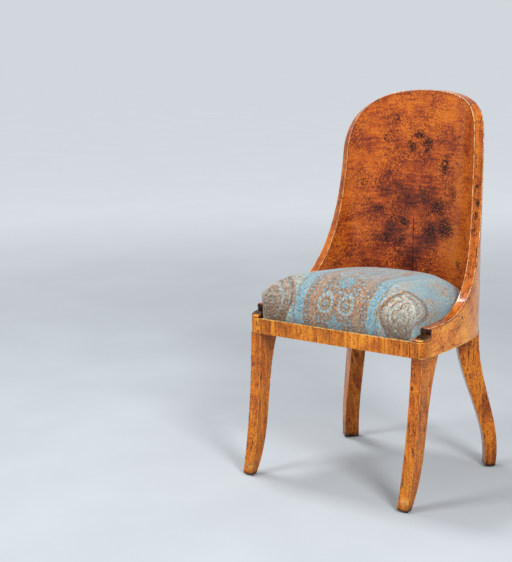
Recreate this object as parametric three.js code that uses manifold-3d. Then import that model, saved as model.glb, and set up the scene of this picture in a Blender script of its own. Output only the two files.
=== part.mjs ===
// A klismos side chair with a gondola back: a horseshoe shell in burr veneer on sabre legs, with a drop-in seat.
// Millimetres. X runs across the chair, Y from front to back, Z up from the floor. While a piece is shaped,
// Y starts at the face of the front rail.
import * as THREE from "three";
import { mergeVertices } from "three/addons/utils/BufferGeometryUtils.js";
import Module from "manifold-3d";

const wasm = await Module();
wasm.setup();

// Overall sizes
const FRONT_WIDTH = 470; // outside of the seat at its front corners
const SHELL_DEPTH = 397; // face of the front rail to the outside of the back, at seat height
const BACK_HEIGHT = 881;
const RAIL_BOTTOM = 333; // underside of the seat rail, and top of the legs
const RAIL_HEIGHT = 36;
const BACK_RAKE = 10; // how far the crown stands behind the seat rail

// Clearances and thicknesses
const JOINT = 0.3; // glue line, or the air between pieces that touch
const PAST = 1; // how far a cutter reaches past the wood
const TENON_ROOT = 2; // how far a tenon starts inside its own piece
const SHELL_THICKNESS = 23.5;
const VENEER = 1.2;
const BAND = 3; // lipping along the edge of the shell
const BAND_ARRIS = 1.8; // rounding of the lipping's two arrises

// Plan of the shell, one half: handles of the curve from the middle of the back to the front corner
const REAR_HANDLE = 186; // reach of the flat middle of the back
const SIDE_HANDLE = 327; // reach of the flat side, back from the front corner
const SIDE_FLARE = 1; // how much wider than the front the side would run

// Edge line of the shell, measured round the outside from the middle of the back, and in height
const CROWN_HANDLE = 184.6; // reach of the level crown
const SHOULDER_REACH = 224;
const SHOULDER_DROP = 152; // below the crown
const SHOULDER_SPREAD = 0.07; // outward run for each millimetre down, at the shoulder
const SHOULDER_HANDLE = 62.8; // height of the shoulder's curve above that place
const SWEEP_DIP = 14.2; // how far below the arm's top the handle of the sweep ends
const ARM_RISE = 28; // top of the arm at its front end, above the seat rail
const ARM_HANDLE = 99; // reach of the level arm
const ARM_SETBACK = 28; // the arm's end, behind the face of the front rail
const ARM_NOSE = 4; // radius of the arm's rounded lip
const ARM_COVE = 1.5; // hollow below that lip

// Corner block, which carries the arm's end and takes the leg and the front rail
const BLOCK_WIDTH = 34;
const BLOCK_CORNER = 12; // radius of its front corner in plan
const LEDGE_REAR_RISE = 13; // its sloping ledge at the arm, above the seat rail
const LEDGE_FRONT_RISE = 4.5; // and at the front
const LEDGE_NOSE = 3; // rounding of the ledge's front edge
const LEDGE_ROUND = 1; // how far the ledge has dropped half-way along
const QUIRK_WIDTH = 1.2; // groove below the ledge
const QUIRK_DEPTH = 1;

// Seat rail
const RAIL_DEPTH = 30; // front to back
const LIP = 6; // rim in front of the drop-in seat
const REBATE = 13; // depth below the rail's top of what the drop-in seat rests on
const BEARER_WIDTH = 26;
const CORNER_BLOCK_WIDTH = 34; // the rear corner blocks, which take the rear legs
const CORNER_BLOCK_HALF = 46; // half their length, round the outside of the shell
const GLUE_BLOCK = 36; // short sides of the front glue blocks
const GLUE_BLOCK_DROP = 2; // its top below the rebate
const RAIL_TENON_LENGTH = 12;
const RAIL_TENON_HEIGHT = 14;
const RAIL_TENON_WIDTH = 15;
const RAIL_TENON_FRONT = 9; // the tenon's front, behind the face of the rail

// Front leg: its four handles down the front face and down the rear face, each back from the rail's face
const FRONT_LEG_WIDTH = 27.5;
const FRONT_LEG_SIDE_SETBACK = 3; // inside the shell's outer face
const FRONT_LEG_SETBACK = 0.8;
const FRONT_LEG_KNEE = -4.3;
const FRONT_LEG_SHIN = -17.6;
const FRONT_LEG_TOE = -43;
const FRONT_LEG_REAR_TOP = 69;
const FRONT_LEG_REAR_KNEE = 12.3;
const FRONT_LEG_REAR_SHIN = 44.4;
const FRONT_LEG_HEEL = -28;
const FRONT_LEG_INWARD = 6; // how far its foot stands in from its top
const FRONT_TENON_WIDTH = 11;
const FRONT_TENON_START = 10; // behind the rail's face
const FRONT_TENON_END = 58;
const FRONT_TENON_HEIGHT = 28;

// Rear leg: the same down its outer and its inner face, each out from the shell's outer face
const REAR_LEG_TURN = 49.36; // degrees that the plan has turned where it stands
const REAR_LEG_WIDTH = 36;
const REAR_LEG_TOP = 1;
const REAR_LEG_KNEE = -4;
const REAR_LEG_SHIN = 64.5;
const REAR_LEG_TOE = 45;
const REAR_LEG_INNER_TOP = -53;
const REAR_LEG_INNER_KNEE = -47;
const REAR_LEG_INNER_SHIN = 31;
const REAR_LEG_HEEL = 20;
const REAR_TENON_WIDTH = 14;
const REAR_TENON_LENGTH = 17;
const REAR_TENON_HEIGHT = 19;
const REAR_TENON_WALL = 6; // wood between the tenon and the shell

// Both legs
const KNEE_HEIGHT = 206; // height of the upper handles
const FRONT_SHIN_HEIGHT = 100; // height of the lower handles
const REAR_SHIN_HEIGHT = 113;
const LEG_ARRIS = 0.9;
const FOOT_ARRIS = 2.5;
const GLIDE_RADIUS = 5.2; // small glide nailed under each foot
const GLIDE_HEIGHT = 2.5;
const GLIDE_EDGE = 1.2; // how much narrower the glide is at the floor
const GLIDE_PIN = 1; // radius of its pin
const GLIDE_PIN_LENGTH = 11;

// Drop-in seat
const SEAT_CLEARANCE = 1.5;
const COVER = 1.8; // thickness of the woven cover with its lining
const SEAT_CORNER = 12; // radius of the seat's front corners
const COVER_TURN = 11; // width of the cover turned in below the frame
const FRAME_WIDTH = 45;
const FRAME_THICKNESS = 20;
const LAP_LENGTH = 45; // of the halved joints, along the side rails
const WEB_WIDTH = 50;
const WEB = 1.6;
const WEB_TURN = 25; // how far each strap lies on the frame
const WEB_EASE = 3; // level stretch of a strap to each side of the one it crosses
const WEB_COUNT = 3; // straps each way, evenly spaced in the frame's opening
const HESSIAN = 1;
const HESSIAN_INSET = 9; // its edge, inside the frame's
const STUFFING_TUCK = 3; // how far the stuffing draws in at its foot
const PAD_SIDE_RISE = 44; // where the upright side of the seat ends, above the seat rail
const PAD_ROUND = 16; // radius between that side and the shoulder of the crown
const PAD_CROWN = 51; // rise of the crown above that rounding
const PAD_FULLNESS = 5; // the larger, the flatter the crown and the steeper its shoulder
const PAD_MIDDLE = 170; // the crown's middle, back from the rail's face
const PAD_LEAN = 9; // how much higher the seat's front edge is than it would be level
const PAD_BULGE = 3; // how far the front swells over the lip
const BULGE_RISE = 15; // where that swelling is full, above the seat rail
const PAD_OVERHANG = 8; // how far the sides swell over the ends of the arms
const PAD_OVERHANG_REACH = 130; // how far back that swelling dies out

// Worked out from these
const HALF_WIDTH = FRONT_WIDTH / 2;
const RAIL_TOP = RAIL_BOTTOM + RAIL_HEIGHT;
const REBATE_FLOOR = RAIL_TOP - REBATE;
const ARM_HEIGHT = RAIL_TOP + ARM_RISE;
const LEDGE_REAR = RAIL_TOP + LEDGE_REAR_RISE;
const LEDGE_FRONT = RAIL_TOP + LEDGE_FRONT_RISE;
const SHOULDER_HEIGHT = BACK_HEIGHT - SHOULDER_DROP;
const CORE_OUTER = VENEER + JOINT;
const CORE_INNER = SHELL_THICKNESS - VENEER - JOINT;
const BLOCK_DEPTH = ARM_SETBACK + ARM_COVE + BAND;
const LEG_TOP = RAIL_BOTTOM - JOINT;
const FOOT_BOTTOM = GLIDE_HEIGHT + JOINT;
const BEARER_OUTER = SHELL_THICKNESS + JOINT;
const SEAT_BOTTOM = REBATE_FLOOR + JOINT;
const SEAT_FRONT = LIP + SEAT_CLEARANCE;
const SEAT_DEPTH = SHELL_THICKNESS + SEAT_CLEARANCE;
const FRAME_INSET = COVER + JOINT;
const FRAME_BOTTOM = SEAT_BOTTOM + FRAME_INSET;
const FRAME_TOP = FRAME_BOTTOM + FRAME_THICKNESS;
const WEB_BOTTOM = FRAME_TOP + JOINT;
const HESSIAN_BOTTOM = WEB_BOTTOM + 2 * (WEB + JOINT);
const PAD_BOTTOM = HESSIAN_BOTTOM + HESSIAN + JOINT;
const PAD_SIDE_TOP = RAIL_TOP + PAD_SIDE_RISE;
const PAD_SHOULDER = Math.PI / 2 - Math.atan((PAD_CROWN * PAD_FULLNESS) / PAD_MIDDLE);
const BULGE_HEIGHT = RAIL_TOP + BULGE_RISE;

// Fineness of the facets
const TURN_STEP = 5 * (Math.PI / 180); // turn of the plan between two stations
const LONGEST_STEP = 60;
const CROWN_STEPS = 14;
const SWEEP_STEPS = 18;
const NOSE_STEPS = 3;
const COVE_STEPS = 2;
const LEG_STEPS = 14;
const BLOCK_CORNER_STEPS = 5;
const LEDGE_STEPS = 4;
const GLIDE_FACETS = 16;
const SEAT_CORNER_STEPS = 3;
const SEAT_FRONT_STEPS = 4;
const DOME_SHARES = [0.93, 0.82, 0.62, 0.32]; // rings of the crown, as shares of its edge
const STAVES = 7; // to each half of the shell

const BURR = { color: 0xa9581f, roughness: 0.3, metalness: 0 };
const LIGHT_BURR = { color: 0xc8742c, roughness: 0.28, metalness: 0 };
const LEG_WOOD = { color: 0x9c4e1c, roughness: 0.32, metalness: 0 };
const CORE_WOOD = { color: 0xb08a5a, roughness: 0.75, metalness: 0 };
const GLIDE_STEEL = { color: 0x1c1a18, roughness: 0.5, metalness: 0.6 };
const BEECH = { color: 0xb98d5e, roughness: 0.7, metalness: 0 };
const JUTE = { color: 0x9b8358, roughness: 0.95, metalness: 0 };
const HORSEHAIR = { color: 0x3a3027, roughness: 1, metalness: 0 };
const SHAWL_CLOTH = { color: 0x6f8f92, roughness: 0.9, metalness: 0 };

// Geometry helpers

/** A closed geometry from points and triangles, turned so that its faces point outwards. */
function closedGeometry(points, triangles) {
  let volume = 0;
  for (const [a, b, c] of triangles) volume += points[a].dot(points[b].clone().cross(points[c]));
  const outward = volume < 0 ? triangles.map(([a, b, c]) => [a, c, b]) : triangles;
  const geometry = new THREE.BufferGeometry().setFromPoints(points);
  geometry.setIndex(outward.flat());
  geometry.computeVertexNormals();
  return geometry;
}

/** The triangles of the walls between rings of equal length. */
function wallTriangles(ringCount, n) {
  const triangles = [];
  for (let i = 0; i + 1 < ringCount; i++) {
    for (let j = 0; j < n; j++) {
      const k = (j + 1) % n;
      const next = n * (i + 1);
      triangles.push([n * i + j, n * i + k, next + k], [n * i + j, next + k, next + j]);
    }
  }
  return triangles;
}

/** A bar through rings of an even number of points, its two ends closed by rungs from one side to the other. */
function loft(rings) {
  const n = rings[0].length;
  const end = n * (rings.length - 1);
  const triangles = wallTriangles(rings.length, n);
  for (let j = 0; j + 1 < n / 2; j++) {
    const k = n - 1 - j;
    triangles.push([j, k, k - 1], [j, k - 1, j + 1]);
    triangles.push([end + j, end + j + 1, end + k - 1], [end + j, end + k - 1, end + k]);
  }
  return closedGeometry(rings.flat(), triangles);
}

/** A rounded body through rings, closed at each end by a fan to one point. */
function domed(firstPoint, rings, lastPoint) {
  const n = rings[0].length;
  const first = n * rings.length;
  const last = first + 1;
  const end = n * (rings.length - 1);
  const triangles = wallTriangles(rings.length, n);
  for (let j = 0; j < n; j++) {
    const k = (j + 1) % n;
    triangles.push([first, k, j], [last, end + j, end + k]);
  }
  return closedGeometry([...rings.flat(), firstPoint, lastPoint], triangles);
}

/** The geometry with its shared corners merged, and nothing kept but its positions. */
function weld(geometry) {
  const bare = geometry.clone();
  bare.deleteAttribute("normal");
  bare.deleteAttribute("uv");
  return mergeVertices(bare, 1e-4);
}

function solidOf(geometry) {
  const welded = weld(geometry);
  const vertProperties = welded.attributes.position.array;
  const triVerts = new Uint32Array(welded.index.array);
  return new wasm.Manifold(new wasm.Mesh({ numProp: 3, vertProperties, triVerts }));
}

function geometryOf(solid) {
  const { vertProperties, triVerts } = solid.getMesh();
  const geometry = new THREE.BufferGeometry();
  geometry.setAttribute("position", new THREE.BufferAttribute(vertProperties, 3));
  geometry.setIndex(new THREE.BufferAttribute(triVerts, 1));
  geometry.computeVertexNormals();
  return geometry;
}

function join(...parts) {
  return geometryOf(parts.map(solidOf).reduce((whole, part) => whole.add(part)));
}

function cut(body, ...tools) {
  return geometryOf(tools.map(solidOf).reduce((rest, tool) => rest.subtract(tool), solidOf(body)));
}

function common(...parts) {
  return geometryOf(parts.map(solidOf).reduce((rest, part) => rest.intersect(part)));
}

/** The left-hand twin of a right-hand piece. */
function mirrored(geometry) {
  const twin = weld(geometry).scale(-1, 1, 1);
  const index = twin.index.array;
  for (let i = 0; i < index.length; i += 3) [index[i + 1], index[i + 2]] = [index[i + 2], index[i + 1]];
  twin.computeVertexNormals();
  return twin;
}

function box([x0, x1], [y0, y1], [z0, z1]) {
  const geometry = new THREE.BoxGeometry(x1 - x0, y1 - y0, z1 - z0);
  return geometry.translate((x0 + x1) / 2, (y0 + y1) / 2, (z0 + z1) / 2);
}

/** A plate of the outline's points, lying between two heights. */
function plate(outline, bottom, top) {
  const shape = new THREE.Shape(outline);
  const geometry = new THREE.ExtrudeGeometry(shape, { depth: top - bottom, bevelEnabled: false });
  return geometry.translate(0, 0, bottom);
}

/** A board sawn to a profile in depth and height, standing between two places across the chair. */
function sawn(profile, x0, x1, arris = 0) {
  const geometry = new THREE.ExtrudeGeometry(new THREE.Shape(profile), {
    depth: x1 - x0 - 2 * arris,
    bevelEnabled: arris > 0,
    bevelThickness: arris,
    bevelSize: arris,
    bevelOffset: -arris,
    bevelSegments: 1,
  });
  const upright = new THREE.Matrix4().makeBasis(
    new THREE.Vector3(0, 1, 0),
    new THREE.Vector3(0, 0, 1),
    new THREE.Vector3(1, 0, 0),
  );
  return geometry.translate(0, 0, arris).applyMatrix4(upright).translate(x0, 0, 0);
}

/** An upright cone's stump, or a cylinder where both radii are the same. */
function stump(bottomRadius, topRadius, bottom, top) {
  const geometry = new THREE.CylinderGeometry(topRadius, bottomRadius, top - bottom, GLIDE_FACETS);
  return geometry.rotateX(Math.PI / 2).translate(0, 0, (bottom + top) / 2);
}

// The shell's surface

const halfPlan = new THREE.CubicBezierCurve(
  new THREE.Vector2(0, SHELL_DEPTH),
  new THREE.Vector2(REAR_HANDLE, SHELL_DEPTH),
  new THREE.Vector2(HALF_WIDTH + SIDE_FLARE, SIDE_HANDLE),
  new THREE.Vector2(HALF_WIDTH, 0),
);
halfPlan.arcLengthDivisions = 1000;
const HALF_GIRTH = halfPlan.getLength();
const ARM_END = HALF_GIRTH - ARM_SETBACK;
const PANEL_END = ARM_END - ARM_COVE - BAND - JOINT;

/** How far the shell leans back at a height: it is upright up to the top of the rail. */
function lean(height) {
  return (BACK_RAKE * Math.max(0, height - RAIL_TOP)) / (BACK_HEIGHT - RAIL_TOP);
}

/** The point at a run round the outside (right of the middle is positive), a height, and a depth into the wood. */
function shellPoint(run, height, depth) {
  const u = Math.min(Math.abs(run) / HALF_GIRTH, 1);
  const point = halfPlan.getPointAt(u);
  const along = halfPlan.getTangentAt(u);
  const side = run < 0 ? -1 : 1;
  const x = side * (point.x + depth * along.y);
  return new THREE.Vector3(x, point.y - depth * along.x + lean(height), height);
}

/** How far the plan has turned from the middle of the back to a run. */
function turnAt(run) {
  const along = halfPlan.getTangentAt(Math.min(Math.abs(run) / HALF_GIRTH, 1));
  return Math.sign(run) * Math.atan2(-along.y, along.x);
}

/** The run, from the middle of the back towards the front corner, up to which a test holds. */
function lastRun(holds) {
  let near = 0;
  let far = HALF_GIRTH;
  while (far - near > 1e-6) {
    const middle = (near + far) / 2;
    if (holds(middle)) near = middle;
    else far = middle;
  }
  return near;
}

/** The run at which the shell, at a depth into the wood, has come to a distance y from the front. */
function runAt(y, depth) {
  return lastRun((run) => shellPoint(run, RAIL_BOTTOM, depth).y > y);
}

const rearLegRun = lastRun((run) => turnAt(run) < THREE.MathUtils.degToRad(REAR_LEG_TURN));

/** Stations of one half of the plan, close together where it bends. */
const planRuns = [0];
for (let run = 0; run < HALF_GIRTH; run++) {
  const last = planRuns[planRuns.length - 1];
  if (turnAt(run) - turnAt(last) > TURN_STEP || run - last > LONGEST_STEP) planRuns.push(run);
}

/** Stations between two runs of the plan, with both ends and with nothing closer to them than a few millimetres. */
function runsBetween(from, to, extra = []) {
  const clear = 3;
  const bothHalves = [...planRuns.map((run) => -run), ...planRuns.slice(1)];
  const loose = bothHalves.filter((run) => extra.every((other) => Math.abs(run - other) > clear));
  const inside = loose.filter((run) => run > from + clear && run < to - clear);
  const fixed = extra.filter((run) => run > from + JOINT && run < to - JOINT);
  return [from, ...[...inside, ...fixed].sort((a, b) => a - b), to];
}

// The shell's edge line, in run and height, from the middle of the crown to the ledge below the arm

const shoulder = new THREE.Vector2(SHOULDER_REACH, SHOULDER_HEIGHT);
const shoulderFall = new THREE.Vector2(SHOULDER_SPREAD, -1);
const edgeCurves = [
  new THREE.CubicBezierCurve(
    new THREE.Vector2(0, BACK_HEIGHT),
    new THREE.Vector2(CROWN_HANDLE, BACK_HEIGHT),
    shoulder.clone().addScaledVector(shoulderFall, -SHOULDER_HANDLE),
    shoulder,
  ),
  new THREE.CubicBezierCurve(
    shoulder,
    shoulder.clone().addScaledVector(shoulderFall, SHOULDER_HEIGHT - ARM_HEIGHT + SWEEP_DIP),
    new THREE.Vector2(ARM_END - ARM_HANDLE, ARM_HEIGHT),
    new THREE.Vector2(ARM_END - ARM_NOSE, ARM_HEIGHT),
  ),
  new THREE.EllipseCurve(ARM_END - ARM_NOSE, ARM_HEIGHT - ARM_NOSE, ARM_NOSE, ARM_NOSE, Math.PI / 2, 0, true),
  new THREE.CubicBezierCurve(
    new THREE.Vector2(ARM_END, ARM_HEIGHT - ARM_NOSE),
    new THREE.Vector2(ARM_END, (ARM_HEIGHT - ARM_NOSE + LEDGE_REAR) / 2),
    new THREE.Vector2(ARM_END - ARM_COVE, (ARM_HEIGHT - ARM_NOSE + LEDGE_REAR) / 2),
    new THREE.Vector2(ARM_END - ARM_COVE, LEDGE_REAR + JOINT),
  ),
];
const edgeSteps = [CROWN_STEPS, SWEEP_STEPS, NOSE_STEPS, COVE_STEPS];

/** Places along one of the edge line's curves, each with the direction into the wood. */
function edgePlaces(curve, steps, first) {
  const places = [];
  for (let i = first; i <= steps; i++) {
    const point = curve.getPoint(i / steps);
    const along = curve.getTangent(i / steps);
    places.push({ point, inward: new THREE.Vector2(along.y, -along.x) });
  }
  return places;
}

const edgeLine = edgeCurves.flatMap((curve, i) => edgePlaces(curve, edgeSteps[i], i === 0 ? 0 : 1));

/** Where the shell's panels stop below the lipping, as far as the arm's rounded lip. */
const panelTop = edgeLine
  .slice(0, CROWN_STEPS + SWEEP_STEPS + 1)
  .map(({ point, inward }) => point.clone().addScaledVector(inward, BAND + JOINT));
const panelTopRuns = panelTop.map((point) => point.x);

function panelTopAt(run) {
  const i = Math.min(Math.max(panelTop.findIndex((point) => point.x >= run), 1), panelTop.length - 1);
  const [a, b] = [panelTop[i - 1], panelTop[i]];
  const share = (run - a.x) / (b.x - a.x);
  return a.y + share * (b.y - a.y);
}

/** A panel bent to the shell's plan between two depths, with the heights of its rows given at each run. */
function bentPanel(runs, heightsAt, outer, inner) {
  const ringAt = (run) => {
    const heights = heightsAt(run);
    const outside = heights.map((height) => shellPoint(run, height, outer));
    const inside = heights.map((height) => shellPoint(run, height, inner));
    return [...outside, ...inside.reverse()];
  };
  return loft(runs.map(ringAt));
}

/** A panel of the shell itself, from the underside of the rail to the lipping. */
function shellPanel(from, to, outer, inner) {
  const heightsAt = (run) => [RAIL_BOTTOM, RAIL_TOP, panelTopAt(run)];
  return bentPanel(runsBetween(from, to, panelTopRuns), heightsAt, outer, inner);
}

/** A low curved rail inside the shell, which the drop-in seat rests on. */
function bearer(from, to, width) {
  return bentPanel(runsBetween(from, to), () => [RAIL_BOTTOM, REBATE_FLOOR], BEARER_OUTER, BEARER_OUTER + width);
}

/** The lipping that follows the whole edge of one half of the shell, with its two arrises rounded. */
function edgeBand() {
  const quarter = BAND_ARRIS * (1 - Math.SQRT1_2);
  const section = [
    [0, BAND],
    [0, BAND_ARRIS],
    [quarter, quarter],
    [BAND_ARRIS, 0],
  ];
  const farSide = section.map(([depth, inset]) => [SHELL_THICKNESS - depth, inset]).reverse();
  const ringAt = ({ point, inward }) =>
    [...section, ...farSide].map(([depth, inset]) => {
      const run = Math.max(point.x + inset * inward.x, JOINT / 2);
      return shellPoint(run, point.y + inset * inward.y, depth);
    });
  return loft(edgeLine.map(ringAt));
}

// Corner blocks, rails and legs

const blockInner = HALF_WIDTH - BLOCK_WIDTH;
const tenonMiddle = HALF_WIDTH - SHELL_THICKNESS / 2;
const frontTenonSpan = [tenonMiddle - FRONT_TENON_WIDTH / 2, tenonMiddle + FRONT_TENON_WIDTH / 2];

/** The box of a hole that takes a tenon of the given box, with a glue line all round. */
function mortiseFor([x0, x1], [y0, y1], [z0, z1]) {
  return box([x0 - JOINT, x1 + JOINT], [y0 - JOINT, y1 + JOINT], [z0 - JOINT, z1 + JOINT]);
}

const frontTenon = [
  frontTenonSpan,
  [FRONT_TENON_START, FRONT_TENON_END],
  [LEG_TOP - TENON_ROOT, RAIL_BOTTOM + FRONT_TENON_HEIGHT],
];
const railTenonBottom = RAIL_BOTTOM + (REBATE_FLOOR - RAIL_BOTTOM - RAIL_TENON_HEIGHT) / 2;
const railTenon = [
  [blockInner - JOINT - TENON_ROOT, blockInner + RAIL_TENON_LENGTH],
  [RAIL_TENON_FRONT, RAIL_TENON_FRONT + RAIL_TENON_WIDTH],
  [railTenonBottom, railTenonBottom + RAIL_TENON_HEIGHT],
];

/** Outline of the corner block in plan, drawn in by an amount all round its shown sides. */
function blockOutline(inset) {
  const radius = BLOCK_CORNER - inset;
  const corner = new THREE.Path();
  corner.absarc(HALF_WIDTH - BLOCK_CORNER, BLOCK_CORNER, radius, -Math.PI / 2, 0, false);
  return [
    new THREE.Vector2(blockInner, inset),
    ...corner.getPoints(BLOCK_CORNER_STEPS),
    new THREE.Vector2(HALF_WIDTH - inset, BLOCK_DEPTH),
    new THREE.Vector2(blockInner, BLOCK_DEPTH),
  ];
}

/** The block: its post at rail height, a quirk, and the sloping ledge that runs up to the arm's end. */
function cornerBlock() {
  const quirkTop = RAIL_TOP + QUIRK_WIDTH;
  const body = join(
    plate(blockOutline(0), RAIL_BOTTOM, RAIL_TOP),
    plate(blockOutline(QUIRK_DEPTH), RAIL_TOP - JOINT, quirkTop + JOINT),
    plate(blockOutline(0), quirkTop, LEDGE_REAR),
  );
  const ledge = new THREE.Path();
  ledge.moveTo(0, RAIL_BOTTOM);
  ledge.lineTo(0, LEDGE_FRONT - LEDGE_NOSE);
  ledge.quadraticCurveTo(0, LEDGE_FRONT, LEDGE_NOSE, LEDGE_FRONT + JOINT);
  ledge.quadraticCurveTo(ARM_SETBACK / 2, LEDGE_REAR - LEDGE_ROUND, ARM_SETBACK, LEDGE_REAR);
  ledge.lineTo(BLOCK_DEPTH, LEDGE_REAR);
  ledge.lineTo(BLOCK_DEPTH, RAIL_BOTTOM);
  const side = ledge.getPoints(LEDGE_STEPS).slice(0, -1);
  const shaped = common(body, sawn(side, blockInner - PAST, HALF_WIDTH + PAST));
  const seatSide = [blockInner - PAST, HALF_WIDTH - SHELL_THICKNESS];
  const overRail = box(seatSide, [-PAST, BLOCK_DEPTH + PAST], [RAIL_TOP, LEDGE_REAR + PAST]);
  const rebate = box(seatSide, [LIP, BLOCK_DEPTH + PAST], [REBATE_FLOOR, LEDGE_REAR + PAST]);
  return cut(shaped, overRail, rebate, mortiseFor(...frontTenon), mortiseFor(...railTenon));
}

/** The front rail's core, rebated for the seat, with a tenon at each end. */
function frontRail() {
  const face = CORE_OUTER;
  const profile = [
    [face, RAIL_BOTTOM],
    [RAIL_DEPTH, RAIL_BOTTOM],
    [RAIL_DEPTH, REBATE_FLOOR],
    [LIP, REBATE_FLOOR],
    [LIP, RAIL_TOP],
    [face, RAIL_TOP],
  ].map(([y, z]) => new THREE.Vector2(y, z));
  const half = blockInner - JOINT;
  const tenon = box(...railTenon);
  return join(sawn(profile, -half, half), tenon, mirrored(tenon));
}

/** A sabre leg's profile between two curves, in a distance and a height, with its foot's corners taken off. */
function sabreProfile(outerHandles, innerHandles, shinHeight) {
  const heights = [LEG_TOP, KNEE_HEIGHT, shinHeight, 0];
  const footStart = 1 - (FOOT_BOTTOM + FOOT_ARRIS) / (3 * shinHeight);
  const face = (handles) => {
    const corners = handles.map((reach, i) => new THREE.Vector2(reach, heights[i]));
    const curve = new THREE.CubicBezierCurve(...corners);
    return Array.from({ length: LEG_STEPS + 1 }, (_, i) => curve.getPoint((footStart * i) / LEG_STEPS));
  };
  const outer = face(outerHandles);
  const inner = face(innerHandles);
  const towardsInner = Math.sign(innerHandles[3] - outerHandles[3]);
  const toe = new THREE.Vector2(outer[LEG_STEPS].x + towardsInner * FOOT_ARRIS, FOOT_BOTTOM);
  const heel = new THREE.Vector2(inner[LEG_STEPS].x - towardsInner * FOOT_ARRIS, FOOT_BOTTOM);
  const footMiddle = (toe.x + heel.x) / 2;
  return { profile: [...outer, toe, heel, ...inner.reverse()], footMiddle };
}

/** A leg with the glide that is nailed under its foot, the two in their own frame. */
function withGlide(leg, x, y) {
  const pinTop = GLIDE_HEIGHT + GLIDE_PIN_LENGTH;
  const head = stump(GLIDE_RADIUS - GLIDE_EDGE, GLIDE_RADIUS, 0, GLIDE_HEIGHT);
  const pin = stump(GLIDE_PIN, GLIDE_PIN, GLIDE_HEIGHT - JOINT, pinTop);
  const hole = stump(GLIDE_PIN + JOINT, GLIDE_PIN + JOINT, 0, pinTop + JOINT).translate(x, y, 0);
  return { leg: cut(leg, hole), glide: join(head, pin).translate(x, y, 0) };
}

/** The front leg sawn to its sabre, with the tenon that joins the corner block to the side of the shell. */
function frontLeg() {
  const { profile, footMiddle } = sabreProfile(
    [FRONT_LEG_SETBACK, FRONT_LEG_KNEE, FRONT_LEG_SHIN, FRONT_LEG_TOE],
    [FRONT_LEG_REAR_TOP, FRONT_LEG_REAR_KNEE, FRONT_LEG_REAR_SHIN, FRONT_LEG_HEEL],
    FRONT_SHIN_HEIGHT,
  );
  const outside = HALF_WIDTH - FRONT_LEG_SIDE_SETBACK;
  const slope = FRONT_LEG_INWARD / RAIL_BOTTOM;
  const leaning = new THREE.Matrix4().makeShear(0, 0, 0, 0, slope, 0).setPosition(-FRONT_LEG_INWARD, 0, 0);
  const leg = sawn(profile, outside - FRONT_LEG_WIDTH, outside, LEG_ARRIS).applyMatrix4(leaning);
  const footX = outside - FRONT_LEG_WIDTH / 2 - FRONT_LEG_INWARD;
  return withGlide(join(leg, box(...frontTenon)), footX, footMiddle);
}

/** The rear leg in its own frame: Y out of the shell along its plane, and the origin on the shell's outer face. */
function rearLeg() {
  const { profile, footMiddle } = sabreProfile(
    [REAR_LEG_TOP, REAR_LEG_KNEE, REAR_LEG_SHIN, REAR_LEG_TOE],
    [REAR_LEG_INNER_TOP, REAR_LEG_INNER_KNEE, REAR_LEG_INNER_SHIN, REAR_LEG_HEEL],
    REAR_SHIN_HEIGHT,
  );
  const leg = sawn(profile, -REAR_LEG_WIDTH / 2, REAR_LEG_WIDTH / 2, LEG_ARRIS);
  return withGlide(join(leg, box(...rearTenon)), 0, footMiddle);
}

const rearTenonOuter = -(BEARER_OUTER + REAR_TENON_WALL);
const rearTenon = [
  [-REAR_TENON_WIDTH / 2, REAR_TENON_WIDTH / 2],
  [rearTenonOuter - REAR_TENON_LENGTH, rearTenonOuter],
  [LEG_TOP - TENON_ROOT, RAIL_BOTTOM + REAR_TENON_HEIGHT],
];

/** Where a rear leg's own frame stands: on the shell's outer face, turned square to it. */
function rearLegPlace() {
  const place = shellPoint(rearLegRun, 0, 0);
  return new THREE.Matrix4()
    .makeRotationZ(-turnAt(rearLegRun))
    .setPosition(place.x, place.y, 0);
}

function rearCornerBlock() {
  const from = rearLegRun - CORNER_BLOCK_HALF;
  const to = rearLegRun + CORNER_BLOCK_HALF;
  const mortise = mortiseFor(...rearTenon).applyMatrix4(rearLegPlace());
  return cut(bearer(from, to, CORNER_BLOCK_WIDTH), mortise);
}

function glueBlock() {
  const y = RAIL_DEPTH + JOINT;
  const inner = BEARER_OUTER + BEARER_WIDTH;
  const x = shellPoint(runAt(y + GLUE_BLOCK, inner), 0, inner).x - JOINT;
  const corners = [
    new THREE.Vector2(x, y),
    new THREE.Vector2(x, y + GLUE_BLOCK),
    new THREE.Vector2(x - GLUE_BLOCK, y),
  ];
  return plate(corners, RAIL_BOTTOM + JOINT, REBATE_FLOOR - GLUE_BLOCK_DROP);
}

// The drop-in seat

/** The seat's outline at rest height, as points with their outward directions, anticlockwise from the right. */
function seatOutline() {
  const sideEnd = runAt(SEAT_FRONT + SEAT_CORNER, SEAT_DEPTH);
  const places = runsBetween(-sideEnd, sideEnd)
    .reverse()
    .map((run) => {
      const point = shellPoint(run, RAIL_BOTTOM, SEAT_DEPTH);
      const outward = shellPoint(run, RAIL_BOTTOM, 0).sub(point).normalize();
      return { x: point.x, y: point.y, outX: outward.x, outY: outward.y };
    });
  const cornerX = places[0].x - SEAT_CORNER;
  const cornerY = SEAT_FRONT + SEAT_CORNER;
  const corner = (side) =>
    Array.from({ length: SEAT_CORNER_STEPS }, (_, i) => {
      const angle = ((i + 1) / SEAT_CORNER_STEPS) * (Math.PI / 2);
      const [outX, outY] = [side * Math.cos(angle), -Math.sin(angle)];
      return { x: side * cornerX + SEAT_CORNER * outX, y: cornerY + SEAT_CORNER * outY, outX, outY };
    });
  const front = Array.from({ length: SEAT_FRONT_STEPS - 1 }, (_, i) => {
    const x = cornerX * ((2 * (i + 1)) / SEAT_FRONT_STEPS - 1);
    return { x, y: SEAT_FRONT, outX: 0, outY: -1 };
  });
  return [...places, ...corner(-1), ...front, ...corner(1).reverse()];
}

const outline = seatOutline();

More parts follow.
